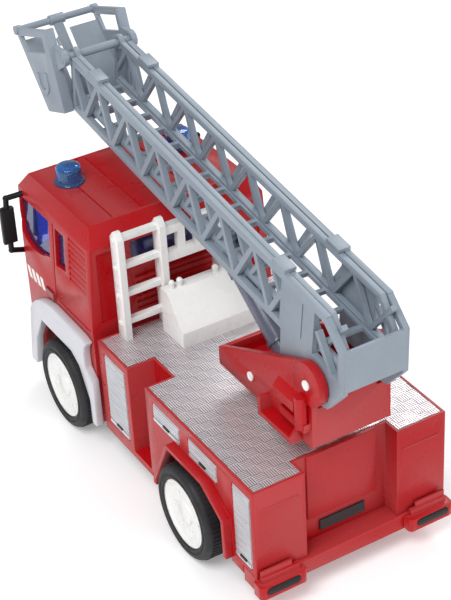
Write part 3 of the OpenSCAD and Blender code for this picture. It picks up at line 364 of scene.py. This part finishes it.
def natural_acetal(looks):
    """Undyed acetal of the gears: waxy ivory, slightly see-through at thin teeth."""
    finish, shader = moulded_plastic("natural acetal", linear("#E4DECB"), (0.04, 5.0), (0.35, 0.48),
                                     (0.4, 0.01), smear_mm=4.0)
    shader.inputs["Subsurface Weight"].default_value = 0.15
    shader.inputs["Subsurface Radius"].default_value = (0.8 * MM, 0.7 * MM, 0.5 * MM)
    return finish


def white_vinyl(looks):
    """White vinyl cut for the door stripes: flat, faintly orange-peeled by the glue below."""
    return moulded_plastic("white vinyl", linear("#F4F1EF"), (0.02, 6.0), (0.3, 0.42),
                           (0.9, 0.015), smear_mm=5.0)[0]


def cabin_grey(looks):
    """Matt dark grey ABS of the seats and dashboard."""
    return moulded_plastic("matt dark grey ABS", linear("#2E3036"), (0.1, 9.0), (0.55, 0.7), (0.5, 0.03))[0]


def paper_white_floor(looks):
    """Seamless white background paper with a barely visible tooth, glowing a little to stay even."""
    finish, tree, shader, place = new_finish("white background paper")
    tooth = add(tree, "ShaderNodeTexNoise", Vector=place, Scale=per_mm(2.0), Detail=4.0)
    shade = add(tree, "ShaderNodeMapRange", Value=tooth.outputs["Fac"], To_Min=0.985, To_Max=1.0)
    white = add(tree, "ShaderNodeHueSaturation", Color=linear("#F8F8F9"), Value=shade.outputs["Result"])
    tree.links.new(white.outputs["Color"], shader.inputs["Base Color"])
    shader.inputs["Roughness"].default_value = 0.6
    shader.inputs["Emission Color"].default_value = (1.0, 1.0, 1.0, 1.0)
    shader.inputs["Emission Strength"].default_value = 0.24
    return finish


FINISHES = {
    "red": gloss_red_abs, "dark_red": dark_red_abs, "white": gloss_white_abs, "fender": satin_grey_abs,
    "ladder": satin_grey_nylon, "black": satin_black_abs, "rubber": tyre_rubber, "tread": tread_foil,
    "foil": silver_foil, "glazing": tinted_glazing, "beacon": beacon_blue, "lens": lamp_clear,
    "smoky": smoky_plastic, "steel": plated_steel, "acetal": natural_acetal, "vinyl": white_vinyl,
    "cabin": cabin_grey, "paper": paper_white_floor,
}
_made = {}


def finish(name):
    """The finish of that short name, made once."""
    if name not in _made:
        _made[name] = FINISHES[name](bpy.context.scene.fire_engine_looks)
    return _made[name]


# ------------------------------------------------------------------ mesh helpers


def body_of_node(node):
    """The CAD body that holds a node."""
    bodies = frame["record"]["behaviour"]["bodies"]
    return next(body for body, nodes in bodies.items() if node in nodes)


def settle(piece, node, material, replaces=True):
    """Dresses a finished piece and hangs it on the body of a CAD node."""
    piece.data.materials.clear()
    piece.data.materials.append(material)
    if replaces:
        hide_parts(node)
    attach(piece, body_of_node(node))
    return piece


def new_object(name, data):
    """A new object in the scene for that mesh, lamp or camera, at the origin."""
    made = bpy.data.objects.new(name, data)
    bpy.context.scene.collection.objects.link(made)
    return made


def bake_modifiers(piece):
    """Turns a piece's modifiers into its plain mesh."""
    bpy.context.view_layer.update()
    graph = bpy.context.evaluated_depsgraph_get()
    done = bpy.data.meshes.new_from_object(piece.evaluated_get(graph), depsgraph=graph)
    piece.modifiers.clear()
    piece.data = done
    return piece


def welded(node):
    """A copy of a CAD node's mesh with its loose triangles merged into flat faces."""
    mesh = frame["nodes"][node].data.copy()
    shape = bmesh.new()
    shape.from_mesh(mesh)
    bmesh.ops.remove_doubles(shape, verts=shape.verts, dist=0.002 * MM)
    bmesh.ops.dissolve_limit(shape, angle_limit=math.radians(0.6), verts=shape.verts, edges=shape.edges,
                             use_dissolve_boundaries=False)
    shape.to_mesh(mesh)
    shape.free()
    return mesh


def round_corners(piece, radius, segments=2):
    """Adds rounded corners of that radius to a piece, still as a modifier."""
    bevel = piece.modifiers.new("rounded corners", "BEVEL")
    bevel.width = radius
    bevel.segments = segments
    return bevel


def softened(node, finish_name, radius):
    """A piece like the CAD node, with every sharp corner rounded as a moulding has it."""
    piece = new_object(f"moulded_{node}", welded(node))
    piece.data.materials.clear()
    piece.data.shade_smooth()
    bevel = round_corners(piece, radius)
    bevel.limit_method = "ANGLE"
    bevel.angle_limit = math.radians(32)
    bevel.use_clamp_overlap = True
    bevel.harden_normals = True
    bake_modifiers(piece)
    return settle(piece, node, finish(finish_name))


def dress(node, finish_name):
    """Gives a CAD node, whose shape is already right, its finish."""
    mesh = frame["nodes"][node].data
    mesh.materials.clear()
    mesh.materials.append(finish(finish_name))


def spun(profile, steps):
    """A closed ring turned about the Y axis from a profile of (radius, y) points."""
    shape = bmesh.new()
    verts = [shape.verts.new((r, y, 0)) for r, y in profile]
    edges = [shape.edges.new((a, b)) for a, b in zip(verts, verts[1:] + verts[:1])]
    bmesh.ops.spin(shape, geom=verts + edges, cent=(0, 0, 0), axis=(0, 1, 0), angle=2 * math.pi,
                   steps=steps, use_merge=True)
    bmesh.ops.remove_doubles(shape, verts=shape.verts, dist=0.001 * MM)
    bmesh.ops.recalc_face_normals(shape, faces=shape.faces)
    mesh = bpy.data.meshes.new("spun")
    shape.to_mesh(mesh)
    shape.free()
    mesh.shade_smooth()
    mesh.set_sharp_from_angle(angle=math.radians(40))
    return mesh


def rectangle(left, right, foot, top):
    """The outline of an upright rectangle."""
    return [(left, foot), (right, foot), (right, top), (left, top)]


def extruded(outline, low, high, to_frame):
    """A closed slab from a flat outline between two heights, put in place by to_frame(u, v, w)."""
    shape = bmesh.new()
    rings = [[shape.verts.new(to_frame(u, v, w)) for u, v in outline] for w in (low, high)]
    shape.faces.new(rings[0])
    shape.faces.new(list(reversed(rings[1])))
    count = len(outline)
    for i in range(count):
        j = (i + 1) % count
        shape.faces.new((rings[0][i], rings[1][i], rings[1][j], rings[0][j]))
    bmesh.ops.recalc_face_normals(shape, faces=shape.faces)
    mesh = bpy.data.meshes.new("slab")
    shape.to_mesh(mesh)
    shape.free()
    return mesh


# ------------------------------------------------------------------ geometry nodes


def node_group(name, sockets):
    """A geometry tree with those named inputs, its input and output nodes, and socket identifiers."""
    group = bpy.data.node_groups.new(name, "GeometryNodeTree")
    group.interface.new_socket("Geometry", in_out="INPUT", socket_type="NodeSocketGeometry")
    ids = {}
    for socket_name, kind in sockets:
        made = group.interface.new_socket(socket_name, in_out="INPUT", socket_type=kind)
        ids[socket_name] = made.identifier
    group.interface.new_socket("Geometry", in_out="OUTPUT", socket_type="NodeSocketGeometry")
    return group, group.nodes.new("NodeGroupInput"), group.nodes.new("NodeGroupOutput"), ids


def close_tree(group, given, result, shape):
    """Ends a geometry tree: gives its shape the finish it was handed, and passes it out."""
    dressed = add(group, "GeometryNodeSetMaterial", Geometry=shape, Material=given.outputs["Finish"])
    group.links.new(dressed.outputs["Geometry"], result.inputs["Geometry"])
    return group


def grown(piece, group, ids, values):
    """Runs a geometry tree on a piece with those inputs and keeps the plain mesh."""
    modifier = piece.modifiers.new("grown", "NODES")
    modifier.node_group = group
    for name, value in values.items():
        modifier[ids[name]] = value
    return bake_modifiers(piece)


def slat_tree():
    """Rounded slats stacked up a shutter: one half-round bar, repeated at the pitch."""
    group, given, result, ids = node_group(
        "shutter slats",
        [("Length", "NodeSocketFloat"), ("Pitch", "NodeSocketFloat"), ("Count", "NodeSocketInt"),
         ("Depth", "NodeSocketFloat"), ("Start", "NodeSocketVector"), ("Finish", "NodeSocketMaterial")],
    )
    half = add(group, "ShaderNodeMath", {"operation": "MULTIPLY"}, _0=given.outputs["Length"], _1=0.5)
    ends = []
    for sign in (-1.0, 1.0):
        reach = add(group, "ShaderNodeMath", {"operation": "MULTIPLY"}, _0=half.outputs[0], _1=sign)
        ends.append(add(group, "ShaderNodeCombineXYZ", X=reach.outputs[0]))
    spine = add(group, "GeometryNodeCurvePrimitiveLine", Start=ends[0].outputs[0], End=ends[1].outputs[0])
    radius = add(group, "ShaderNodeMath", {"operation": "MULTIPLY"}, _0=given.outputs["Pitch"], _1=0.47)
    ring = add(group, "GeometryNodeCurvePrimitiveCircle", Resolution=10, Radius=radius.outputs[0])
    bar = add(group, "GeometryNodeCurveToMesh", Curve=spine.outputs["Curve"],
              Profile_Curve=ring.outputs["Curve"], Fill_Caps=True)
    flat = add(group, "ShaderNodeMath", {"operation": "DIVIDE"}, _0=given.outputs["Depth"],
               _1=radius.outputs[0])
    squeeze = add(group, "ShaderNodeCombineXYZ", X=1.0, Y=flat.outputs[0], Z=1.0)
    shaped = add(group, "GeometryNodeTransform", Geometry=bar.outputs["Mesh"], Scale=squeeze.outputs[0])
    rise = add(group, "ShaderNodeCombineXYZ", Z=given.outputs["Pitch"])
    stack = add(group, "GeometryNodeMeshLine", Count=given.outputs["Count"],
                Start_Location=given.outputs["Start"], Offset=rise.outputs[0])
    copies = add(group, "GeometryNodeInstanceOnPoints", Points=stack.outputs["Mesh"],
                 Instance=shaped.outputs["Geometry"])
    real = add(group, "GeometryNodeRealizeInstances", Geometry=copies.outputs["Instances"])
    joined = add(group, "GeometryNodeJoinGeometry", Geometry=real.outputs["Geometry"])
    group.links.new(given.outputs["Geometry"], joined.inputs["Geometry"])
    faceted = add(group, "GeometryNodeSetShadeSmooth", Geometry=joined.outputs["Geometry"], Shade_Smooth=False)
    return close_tree(group, given, result, faceted.outputs[0]), ids


def tread_tree():
    """Cross bars round a tyre in two staggered rows, joined to the spun carcass."""
    group, given, result, ids = node_group(
        "tyre tread",
        [("Count", "NodeSocketInt"), ("Radius", "NodeSocketFloat"), ("Row Offset", "NodeSocketFloat"),
         ("Bar Size", "NodeSocketVector"), ("Finish", "NodeSocketMaterial")],
    )
    joined = group.nodes.new("GeometryNodeJoinGeometry")
    bar = add(group, "GeometryNodeMeshCube", Size=given.outputs["Bar Size"])
    for sign in (-1.0, 1.0):
        ring = add(group, "GeometryNodeMeshCircle", Vertices=given.outputs["Count"],
                   Radius=given.outputs["Radius"])
        points = add(group, "GeometryNodeMeshToPoints", Mesh=ring.outputs["Mesh"])
        spot = add(group, "GeometryNodeInputPosition")
        around = add(group, "FunctionNodeAlignRotationToVector", {"axis": "X", "pivot_axis": "Z"},
                     Vector=spot.outputs["Position"])
        copies = add(group, "GeometryNodeInstanceOnPoints", Points=points.outputs["Points"],
                     Instance=bar.outputs["Mesh"], Rotation=around.outputs["Rotation"])
        real = add(group, "GeometryNodeRealizeInstances", Geometry=copies.outputs["Instances"])
        aside = add(group, "ShaderNodeMath", {"operation": "MULTIPLY"}, _0=given.outputs["Row Offset"],
                    _1=sign)
        shift = add(group, "ShaderNodeCombineXYZ", Z=aside.outputs[0])
        half_turn = add(group, "ShaderNodeMath", {"operation": "DIVIDE"}, _0=math.pi * (1 + sign) / 2,
                        _1=given.outputs["Count"])
        stagger = add(group, "ShaderNodeCombineXYZ", Z=half_turn.outputs[0])
        placed = add(group, "GeometryNodeTransform", Geometry=real.outputs["Geometry"],
                     Translation=shift.outputs[0], Rotation=stagger.outputs[0])
        upright = add(group, "GeometryNodeTransform", Geometry=placed.outputs["Geometry"],
                      Rotation=(math.pi / 2, 0.0, 0.0))
        group.links.new(upright.outputs["Geometry"], joined.inputs["Geometry"])
    group.links.new(given.outputs["Geometry"], joined.inputs["Geometry"])
    return close_tree(group, given, result, joined.outputs["Geometry"]), ids


def stripe_tree():
    """Slanted door stripes: one flat bar, repeated along the door."""
    group, given, result, ids = node_group(
        "door stripes",
        [("Count", "NodeSocketInt"), ("Pitch", "NodeSocketFloat"), ("Start", "NodeSocketVector"),
         ("Finish", "NodeSocketMaterial")],
    )
    step = add(group, "ShaderNodeCombineXYZ", X=given.outputs["Pitch"])
    row = add(group, "GeometryNodeMeshLine", Count=given.outputs["Count"],
              Start_Location=given.outputs["Start"], Offset=step.outputs[0])
    copies = add(group, "GeometryNodeInstanceOnPoints", Points=row.outputs["Mesh"],
                 Instance=given.outputs["Geometry"])
    real = add(group, "GeometryNodeRealizeInstances", Geometry=copies.outputs["Instances"])
    return close_tree(group, given, result, real.outputs["Geometry"]), ids


# ------------------------------------------------------------------ settings


class FireEngineLooks(bpy.types.PropertyGroup):
    """Colours and pattern sizes that change the model's looks."""

    red: FloatVectorProperty(name="Red", description="Colour of the cab and bodies", subtype="COLOR", size=4,
                             min=0, max=1, default=linear("#B20D15"))
    white: FloatVectorProperty(name="White", description="Colour of hubs and deck mouldings", subtype="COLOR",
                               size=4, min=0, max=1, default=linear("#F1F1EF"))
    fender_grey: FloatVectorProperty(name="Wheel arch grey", description="Colour of the front wheel arches",
                                     subtype="COLOR", size=4, min=0, max=1, default=linear("#D3D4DA"))
    ladder_grey: FloatVectorProperty(name="Ladder grey", description="Colour of the ladder and basket",
                                     subtype="COLOR", size=4, min=0, max=1, default=linear("#8894A0"))
    silver: FloatVectorProperty(name="Silver", description="Lightest tone of the tread foil", subtype="COLOR",
                                size=4, min=0, max=1, default=linear("#E9E7EA"))
    glazing: FloatVectorProperty(name="Window tint", description="Colour of the cab windows", subtype="COLOR",
                                 size=4, min=0, max=1, default=linear("#6C7ADC"))
    beacon: FloatVectorProperty(name="Beacon blue", description="Colour of the roof beacons", subtype="COLOR",
                                size=4, min=0, max=1, default=linear("#4FA0EC"))
    tread_cell: FloatProperty(name="Tread cell", description="Side of one cell of the deck's tread print",
                              unit="LENGTH", default=4.8 * MM, min=2 * MM, max=8 * MM, precision=5)


class FireEngineSizes(bpy.types.PropertyGroup):
    """Sizes of the details that are added to the frame."""

    corner: FloatProperty(name="Corner radius", description="Rounding of the large mouldings' edges",
                          unit="LENGTH", default=0.45 * MM, min=0.1 * MM, max=1 * MM, precision=5)
    ladder_corner: FloatProperty(name="Ladder corner radius", description="Rounding of the ladder's edges",
                                 unit="LENGTH", default=0.25 * MM, min=0.05 * MM, max=0.5 * MM, precision=5)
    slat_pitch: FloatProperty(name="Slat pitch", description="Height of one shutter slat", unit="LENGTH",
                              default=1.3 * MM, min=0.8 * MM, max=3 * MM, precision=5)
    tread_bars: IntProperty(name="Tread bars", description="Cross bars round a tyre, in each row", default=64,
                            min=24, max=96)
    door_stripes: IntProperty(name="Door stripes", description="Slanted stripes on each door", default=4,
                              min=1, max=6)


# ------------------------------------------------------------------ pieces


class FIREENGINE_OT_wheels(bpy.types.Operator):
    """Rubber tyres with a fine cross tread, dished white hubs and steel axles"""

    bl_idname = "fire_engine.wheels"
    bl_label = "Tyres, hubs and axles"

    lug = 0.35 * MM
    shoulder_r = 2.4 * MM

    def execute(self, context):
        group, ids = tread_tree()
        for wheel in WHEELS:
            self.tyre(wheel, context.scene.fire_engine_sizes.tread_bars, group, ids)
            softened(f"hub_{wheel}", "white", 0.3 * MM)
        for end in ("front", "rear"):
            dress(f"{end}_axle", "steel")
        return {"FINISHED"}

    def tyre(self, wheel, bars, group, ids):
        """A tyre turned from its profile, with its cross bars standing on the crown."""
        low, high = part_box(f"tyre_{wheel}")
        hub_low, hub_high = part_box(f"hub_{wheel}")
        half = (high.y - low.y) / 2
        crown = (high.z - low.z) / 2 - self.lug
        inner = (hub_high.z - hub_low.z) / 2 + 0.02 * MM
        piece = new_object(f"tyre_{wheel}_rubber", spun(self.profile(crown, inner, half), 96))
        grown(piece, group, ids, {
            "Count": bars, "Radius": crown - 0.02 * MM, "Row Offset": (half - self.shoulder_r) / 2 + 0.2 * MM,
            "Bar Size": (2 * self.lug, 0.9 * MM, half - self.shoulder_r - 0.9 * MM),
            "Finish": finish("rubber"),
        })
        piece.data.transform(Matrix.Translation((low + high) / 2))
        settle(piece, f"tyre_{wheel}", finish("rubber"))

    def profile(self, crown, inner, half):
        """(radius, y) points round one tyre: centre groove, round shoulder, stepped side wall, seat."""
        groove = [(crown - 0.5 * MM, 0.3 * MM), (crown, 0.45 * MM)]
        turns = [math.radians(12 * k) for k in range(8)]
        shoulder = [
            (crown - self.shoulder_r * (1 - math.cos(a)), half - self.shoulder_r * (1 - math.sin(a)))
            for a in turns
        ]
        side_wall = [
            (inner + 2.6 * MM, half - 0.05 * MM), (inner + 2.3 * MM, half - 0.4 * MM),
            (inner + 1.9 * MM, half - 0.4 * MM), (inner + 1.6 * MM, half), (inner + 0.7 * MM, half),
            (inner, half - 0.7 * MM),
        ]
        rim = groove + shoulder + side_wall
        return rim + [(r, -y) for r, y in reversed(rim)]


class FIREENGINE_OT_cab(bpy.types.Operator):
    """The red cab shell with its rounded seams and edges"""

    bl_idname = "fire_engine.cab"
    bl_label = "Cab shell"

    def execute(self, context):
        softened("cab_shell", "red", context.scene.fire_engine_sizes.corner)
        dress("cab_interior", "cabin")
        return {"FINISHED"}


class FIREENGINE_OT_windows(bpy.types.Operator):
    """Tinted windows and clear headlamp lenses"""

    bl_idname = "fire_engine.windows"
    bl_label = "Windows and lenses"

    def execute(self, context):
        dress("cab_glazing", "glazing")
        dress("headlamps", "lens")
        return {"FINISHED"}


class FIREENGINE_OT_cab_trim(bpy.types.Operator):
    """Wheel arches, mirrors, grille, door handles and door stripes"""

    bl_idname = "fire_engine.cab_trim"
    bl_label = "Cab trim"

    def execute(self, context):
        sizes = context.scene.fire_engine_sizes
        softened("grille", "black", 0.15 * MM)
        for side, sign in SIDES.items():
            softened(f"fender_{side}", "fender", 0.6 * MM)
            softened(f"mirror_{side}", "black", 0.3 * MM)
            self.handle(side, sign)
            self.stripes(side, sign, sizes.door_stripes)
        return {"FINISHED"}

    def handle(self, side, sign):
        """A raised grab handle behind the door's seam."""
        low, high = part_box("cab_shell")
        start, foot, sunk, proud = high.x - 36.2 * MM, low.z + 44.2 * MM, 0.05 * MM, 1.1 * MM
        outline = [(0, 0), (7.6, 0), (8.0, 0.8), (8.0, 3.2), (7.2, 3.9), (0.8, 3.9), (0, 3.2)]

        def on_door(u, v, w):
            return start + u * MM, sign * (high.y - sunk + w * proud), foot + v * MM

        piece = new_object(f"door_handle_{side}", extruded(outline, 0, 1, on_door))
        round_corners(piece, 0.4 * MM, 3)
        bake_modifiers(piece)
        settle(piece, "cab_shell", finish("dark_red"), replaces=False)

    def stripes(self, side, sign, count):
        """Slanted white stripes under the door's window, leaning in with the door above the waist."""
        low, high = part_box("cab_shell")
        lift, waist, lean = 43.8, 47.0, 2.5 / 39
        sunk, thick = 0.02, 0.12
        bend = waist - lift
        outline = [(0, 0), (2.7, 0), (4.0, bend), (4.9, 5.4), (2.2, 5.4), (1.3, bend)]

        def on_door(u, v, w):
            inward = sunk + lean * max(0.0, v - bend) - thick * w
            return u * MM, sign * (high.y - inward * MM), v * MM

        piece = new_object(f"door_stripes_{side}", extruded(outline, 0, 1, on_door))
        group, ids = stripe_tree()
        grown(piece, group, ids, {
            "Count": count, "Pitch": 4.2 * MM, "Start": (high.x - 26.5 * MM, 0.0, low.z + lift * MM),
            "Finish": finish("vinyl"),
        })
        settle(piece, "cab_shell", finish("vinyl"), replaces=False)


class FIREENGINE_OT_beacons(bpy.types.Operator):
    """Blue roof beacons over their dark reflector cores"""

    bl_idname = "fire_engine.beacons"
    bl_label = "Roof beacons"

    def execute(self, context):
        for side in SIDES:
            softened(f"beacon_{side}", "beacon", 0.25 * MM)
        dress("beacon_cores", "black")
        return {"FINISHED"}


class FIREENGINE_OT_rear_body(bpy.types.Operator):
    """The red rear body, its bumper, tail lamps and blank plate"""

    bl_idname = "fire_engine.rear_body"
    bl_label = "Rear body and bumper"

    def execute(self, context):
        corner = context.scene.fire_engine_sizes.corner
        softened("rear_body", "red", corner)
        softened("rear_bumper", "red", corner)
        softened("tail_lamps", "black", 0.2 * MM)
        softened("rear_plate", "black", 0.15 * MM)
        return {"FINISHED"}


class FIREENGINE_OT_deck(bpy.types.Operator):
    """The printed tread sheet on the deck and the ring under the turntable"""

    bl_idname = "fire_engine.deck"
    bl_label = "Tread deck"

    def execute(self, context):
        dress("deck_plate", "tread")
        softened("turntable_ring", "white", 0.3 * MM)
        return {"FINISHED"}


class FIREENGINE_OT_shutters(bpy.types.Operator):
    """Roller shutters made of rounded slats, each with a bottom rail and a black handle"""

    bl_idname = "fire_engine.shutters"
    bl_label = "Roller shutters"

    def execute(self, context):
        pitch = context.scene.fire_engine_sizes.slat_pitch
        group, ids = slat_tree()
        for side, sign in SIDES.items():
            for number in range(1, 5):
                self.shutter(f"shutter_{side}_{number}", sign, pitch, group, ids)
        return {"FINISHED"}

    def shutter(self, node, sign, pitch, group, ids):
        """One shutter in its opening: slats on a back sheet, then its rail and handle."""
        low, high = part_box(node)
        middle = (low.x + high.x) / 2
        wall = abs(high.y if sign > 0 else low.y) - 0.5 * MM
        margin, rail = 0.1 * MM, 2.2 * MM

        def on_wall(u, v, w):
            return u, sign * w, v

        sheet = rectangle(low.x + margin, high.x - margin, low.z + margin, high.z - margin)
        piece = new_object(f"slats_{node}", extruded(sheet, wall - 0.78 * MM, wall - 0.3 * MM, on_wall))
        grown(piece, group, ids, {
            "Length": high.x - low.x - 0.8 * MM, "Pitch": pitch, "Depth": 0.3 * MM,
            "Count": int((high.z - low.z - rail - 0.5 * MM) / pitch),
            "Start": (middle, sign * (wall - 0.2 * MM), low.z + rail + 0.3 * MM + pitch / 2),
            "Finish": finish("foil"),
        })
        settle(piece, node, finish("foil"))
        edge = rectangle(low.x + 0.5 * MM, high.x - 0.5 * MM, low.z + 0.4 * MM, low.z + 1.9 * MM)
        bar = new_object(f"rail_{node}", extruded(edge, wall - 0.5 * MM, wall + 0.28 * MM, on_wall))
        round_corners(bar, 0.12 * MM)
        settle(bake_modifiers(bar), node, finish("foil"), replaces=False)
        foot, top = low.z + 1.5 * MM, low.z + 2.9 * MM
        grip = [(middle - 2.4 * MM, foot), (middle + 2.4 * MM, foot),
                (middle + 2.0 * MM, top), (middle - 2.0 * MM, top)]
        knob = new_object(f"handle_{node}", extruded(grip, wall - 0.3 * MM, wall + 0.48 * MM, on_wall))
        round_corners(knob, 0.2 * MM)
        settle(bake_modifiers(knob), node, finish("black"), replaces=False)


class FIREENGINE_OT_deck_mouldings(bpy.types.Operator):
    """White access ladder with its cradle, and the white pump unit"""

    bl_idname = "fire_engine.deck_mouldings"
    bl_label = "Access ladder and pump unit"

    def execute(self, context):
        softened("boom_rest", "white", 0.35 * MM)
        softened("pump_unit", "white", 0.4 * MM)
        return {"FINISHED"}


class FIREENGINE_OT_turntable(bpy.types.Operator):
    """The red turntable with its cheeks, operator's station and white pins"""

    bl_idname = "fire_engine.turntable"
    bl_label = "Turntable"

    def execute(self, context):
        softened("turntable", "red", context.scene.fire_engine_sizes.corner)
        softened("ladder_pivot_pin", "white", 0.2 * MM)
        softened("ram_base_pin", "white", 0.2 * MM)
        dress("turntable_retainer", "black")
        dress("turntable_screw", "steel")
        return {"FINISHED"}


class FIREENGINE_OT_ram(bpy.types.Operator):
    """The smoky ram barrel, its rod and the top pin"""

    bl_idname = "fire_engine.ram"
    bl_label = "Lifting ram"

    def execute(self, context):
        softened("ram_cylinder", "smoky", 0.3 * MM)
        softened("ram_rod", "ladder", 0.25 * MM)
        dress("ram_top_pin", "steel")
        return {"FINISHED"}


class FIREENGINE_OT_ladder(bpy.types.Operator):
    """Both lattice sections of the ladder"""

    bl_idname = "fire_engine.ladder"
    bl_label = "Ladder sections"

    def execute(self, context):
        corner = context.scene.fire_engine_sizes.ladder_corner
        for node in ("ladder_outer", "ladder_inner_left", "ladder_inner_right", "ladder_inner_rungs"):
            softened(node, "ladder", corner)
        return {"FINISHED"}


class FIREENGINE_OT_basket(bpy.types.Operator):
    """The rescue basket and its hinge bar"""

    bl_idname = "fire_engine.basket"
    bl_label = "Rescue basket"

    def execute(self, context):
        corner = context.scene.fire_engine_sizes.ladder_corner
        softened("basket", "ladder", corner)
        softened("basket_hinge_bar", "ladder", corner)
        return {"FINISHED"}


class FIREENGINE_OT_underside(bpy.types.Operator):
    """Chassis floor, screws, friction motor and gears"""

    bl_idname = "fire_engine.underside"
    bl_label = "Chassis and motor"

    def execute(self, context):
        softened("chassis", "black", 0.3 * MM)
        for node in ("motor_case", "motor_cover"):
            dress(node, "black")
        for node in ("axle_gear", "idler_gear"):
            dress(node, "acetal")
        for node in ("chassis_screws", "flywheel"):
            dress(node, "steel")
        return {"FINISHED"}


class FIREENGINE_OT_stage(bpy.types.Operator):
    """White floor, soft lights and the camera"""

    bl_idname = "fire_engine.stage"
    bl_label = "Stage, lights and camera"

    def execute(self, context):
        self.floor(6.0)
        self.surround(context)
        middle = (CAD_BOX[0] + CAD_BOX[1]) / 2
        for name, offset, size, power in SOFTBOXES:
            self.softbox(name, middle, Vector(offset), size, power)
        self.camera(context)
        return {"FINISHED"}

    def floor(self, reach):
        """A sheet under the tyres, far wider than the view."""
        level = CAD_BOX[0].z
        mesh = bpy.data.meshes.new("floor")
        corners = rectangle(-reach, reach, -reach, reach)
        mesh.from_pydata([(x, y, level) for x, y in corners], [], [(0, 1, 2, 3)])
        floor = new_object("floor_paper", mesh)
        floor.data.materials.append(finish("paper"))

    def surround(self, context):
        """An even white surround that lifts the shadows."""
        world = bpy.data.worlds.new("white surround")
        world.use_nodes = True
        background = world.node_tree.nodes["Background"]
        background.inputs["Color"].default_value = (1, 1, 1, 1)
        background.inputs["Strength"].default_value = SURROUND_STRENGTH
        context.scene.world = world

    def softbox(self, name, middle, offset, size, power):
        """A square lamp that faces the middle of the model."""
        lamp = bpy.data.lights.new(name, "AREA")
        lamp.size = size
        lamp.energy = power
        holder = new_object(name, lamp)
        holder.location = middle + offset
        holder.rotation_euler = (-offset).to_track_quat("-Z", "Y").to_euler()

    def camera(self, context):
        """A long lens behind the left rear corner, above roof height and rolled a little."""
        lens = bpy.data.cameras.new("camera")
        lens.sensor_width = SENSOR_MM
        lens.lens = LENS_MM
        lens.clip_start, lens.clip_end = 0.02, 20.0
        holder = new_object("camera", lens)
        level = math.cos(CAMERA_DIP)
        towards = Vector((math.cos(CAMERA_HEADING) * level, math.sin(CAMERA_HEADING) * level,
                          -math.sin(CAMERA_DIP)))
        turn = towards.to_track_quat("-Z", "Y").to_matrix()
        holder.location = CAMERA_AT
        holder.rotation_mode = "QUATERNION"
        holder.rotation_quaternion = (turn @ Matrix.Rotation(-CAMERA_ROLL, 3, "Z")).to_quaternion()
        context.scene.camera = holder
        context.scene.view_settings.view_transform = "Standard"


STEPS = [
    FIREENGINE_OT_wheels, FIREENGINE_OT_underside, FIREENGINE_OT_cab, FIREENGINE_OT_windows,
    FIREENGINE_OT_cab_trim, FIREENGINE_OT_beacons, FIREENGINE_OT_rear_body, FIREENGINE_OT_deck,
    FIREENGINE_OT_shutters, FIREENGINE_OT_deck_mouldings, FIREENGINE_OT_turntable, FIREENGINE_OT_ram,
    FIREENGINE_OT_ladder, FIREENGINE_OT_basket, FIREENGINE_OT_stage,
]


class FIREENGINE_PT_panel(bpy.types.Panel):
    """Sizes, colours and build steps of the toy fire engine"""

    bl_idname = "FIREENGINE_PT_panel"
    bl_label = "Fire Engine"
    bl_space_type = "VIEW_3D"
    bl_region_type = "UI"
    bl_category = "Fire Engine"

    def draw(self, context):
        for group in (context.scene.fire_engine_looks, context.scene.fire_engine_sizes):
            box = self.layout.box()
            for name in group.__annotations__:
                box.prop(group, name)
        for step in STEPS:
            self.layout.operator(step.bl_idname)


CLASSES = [FireEngineLooks, FireEngineSizes, *STEPS, FIREENGINE_PT_panel]


def register():
    for cls in CLASSES:
        bpy.utils.register_class(cls)
    bpy.types.Scene.fire_engine_looks = PointerProperty(type=FireEngineLooks)
    bpy.types.Scene.fire_engine_sizes = PointerProperty(type=FireEngineSizes)


def unregister():
    del bpy.types.Scene.fire_engine_sizes
    del bpy.types.Scene.fire_engine_looks
    for cls in reversed(CLASSES):
        bpy.utils.unregister_class(cls)


def main():
    register()
    for step in STEPS:
        family, name = step.bl_idname.split(".")
        getattr(getattr(bpy.ops, family), name)()


if __name__ == "__main__":
    main()
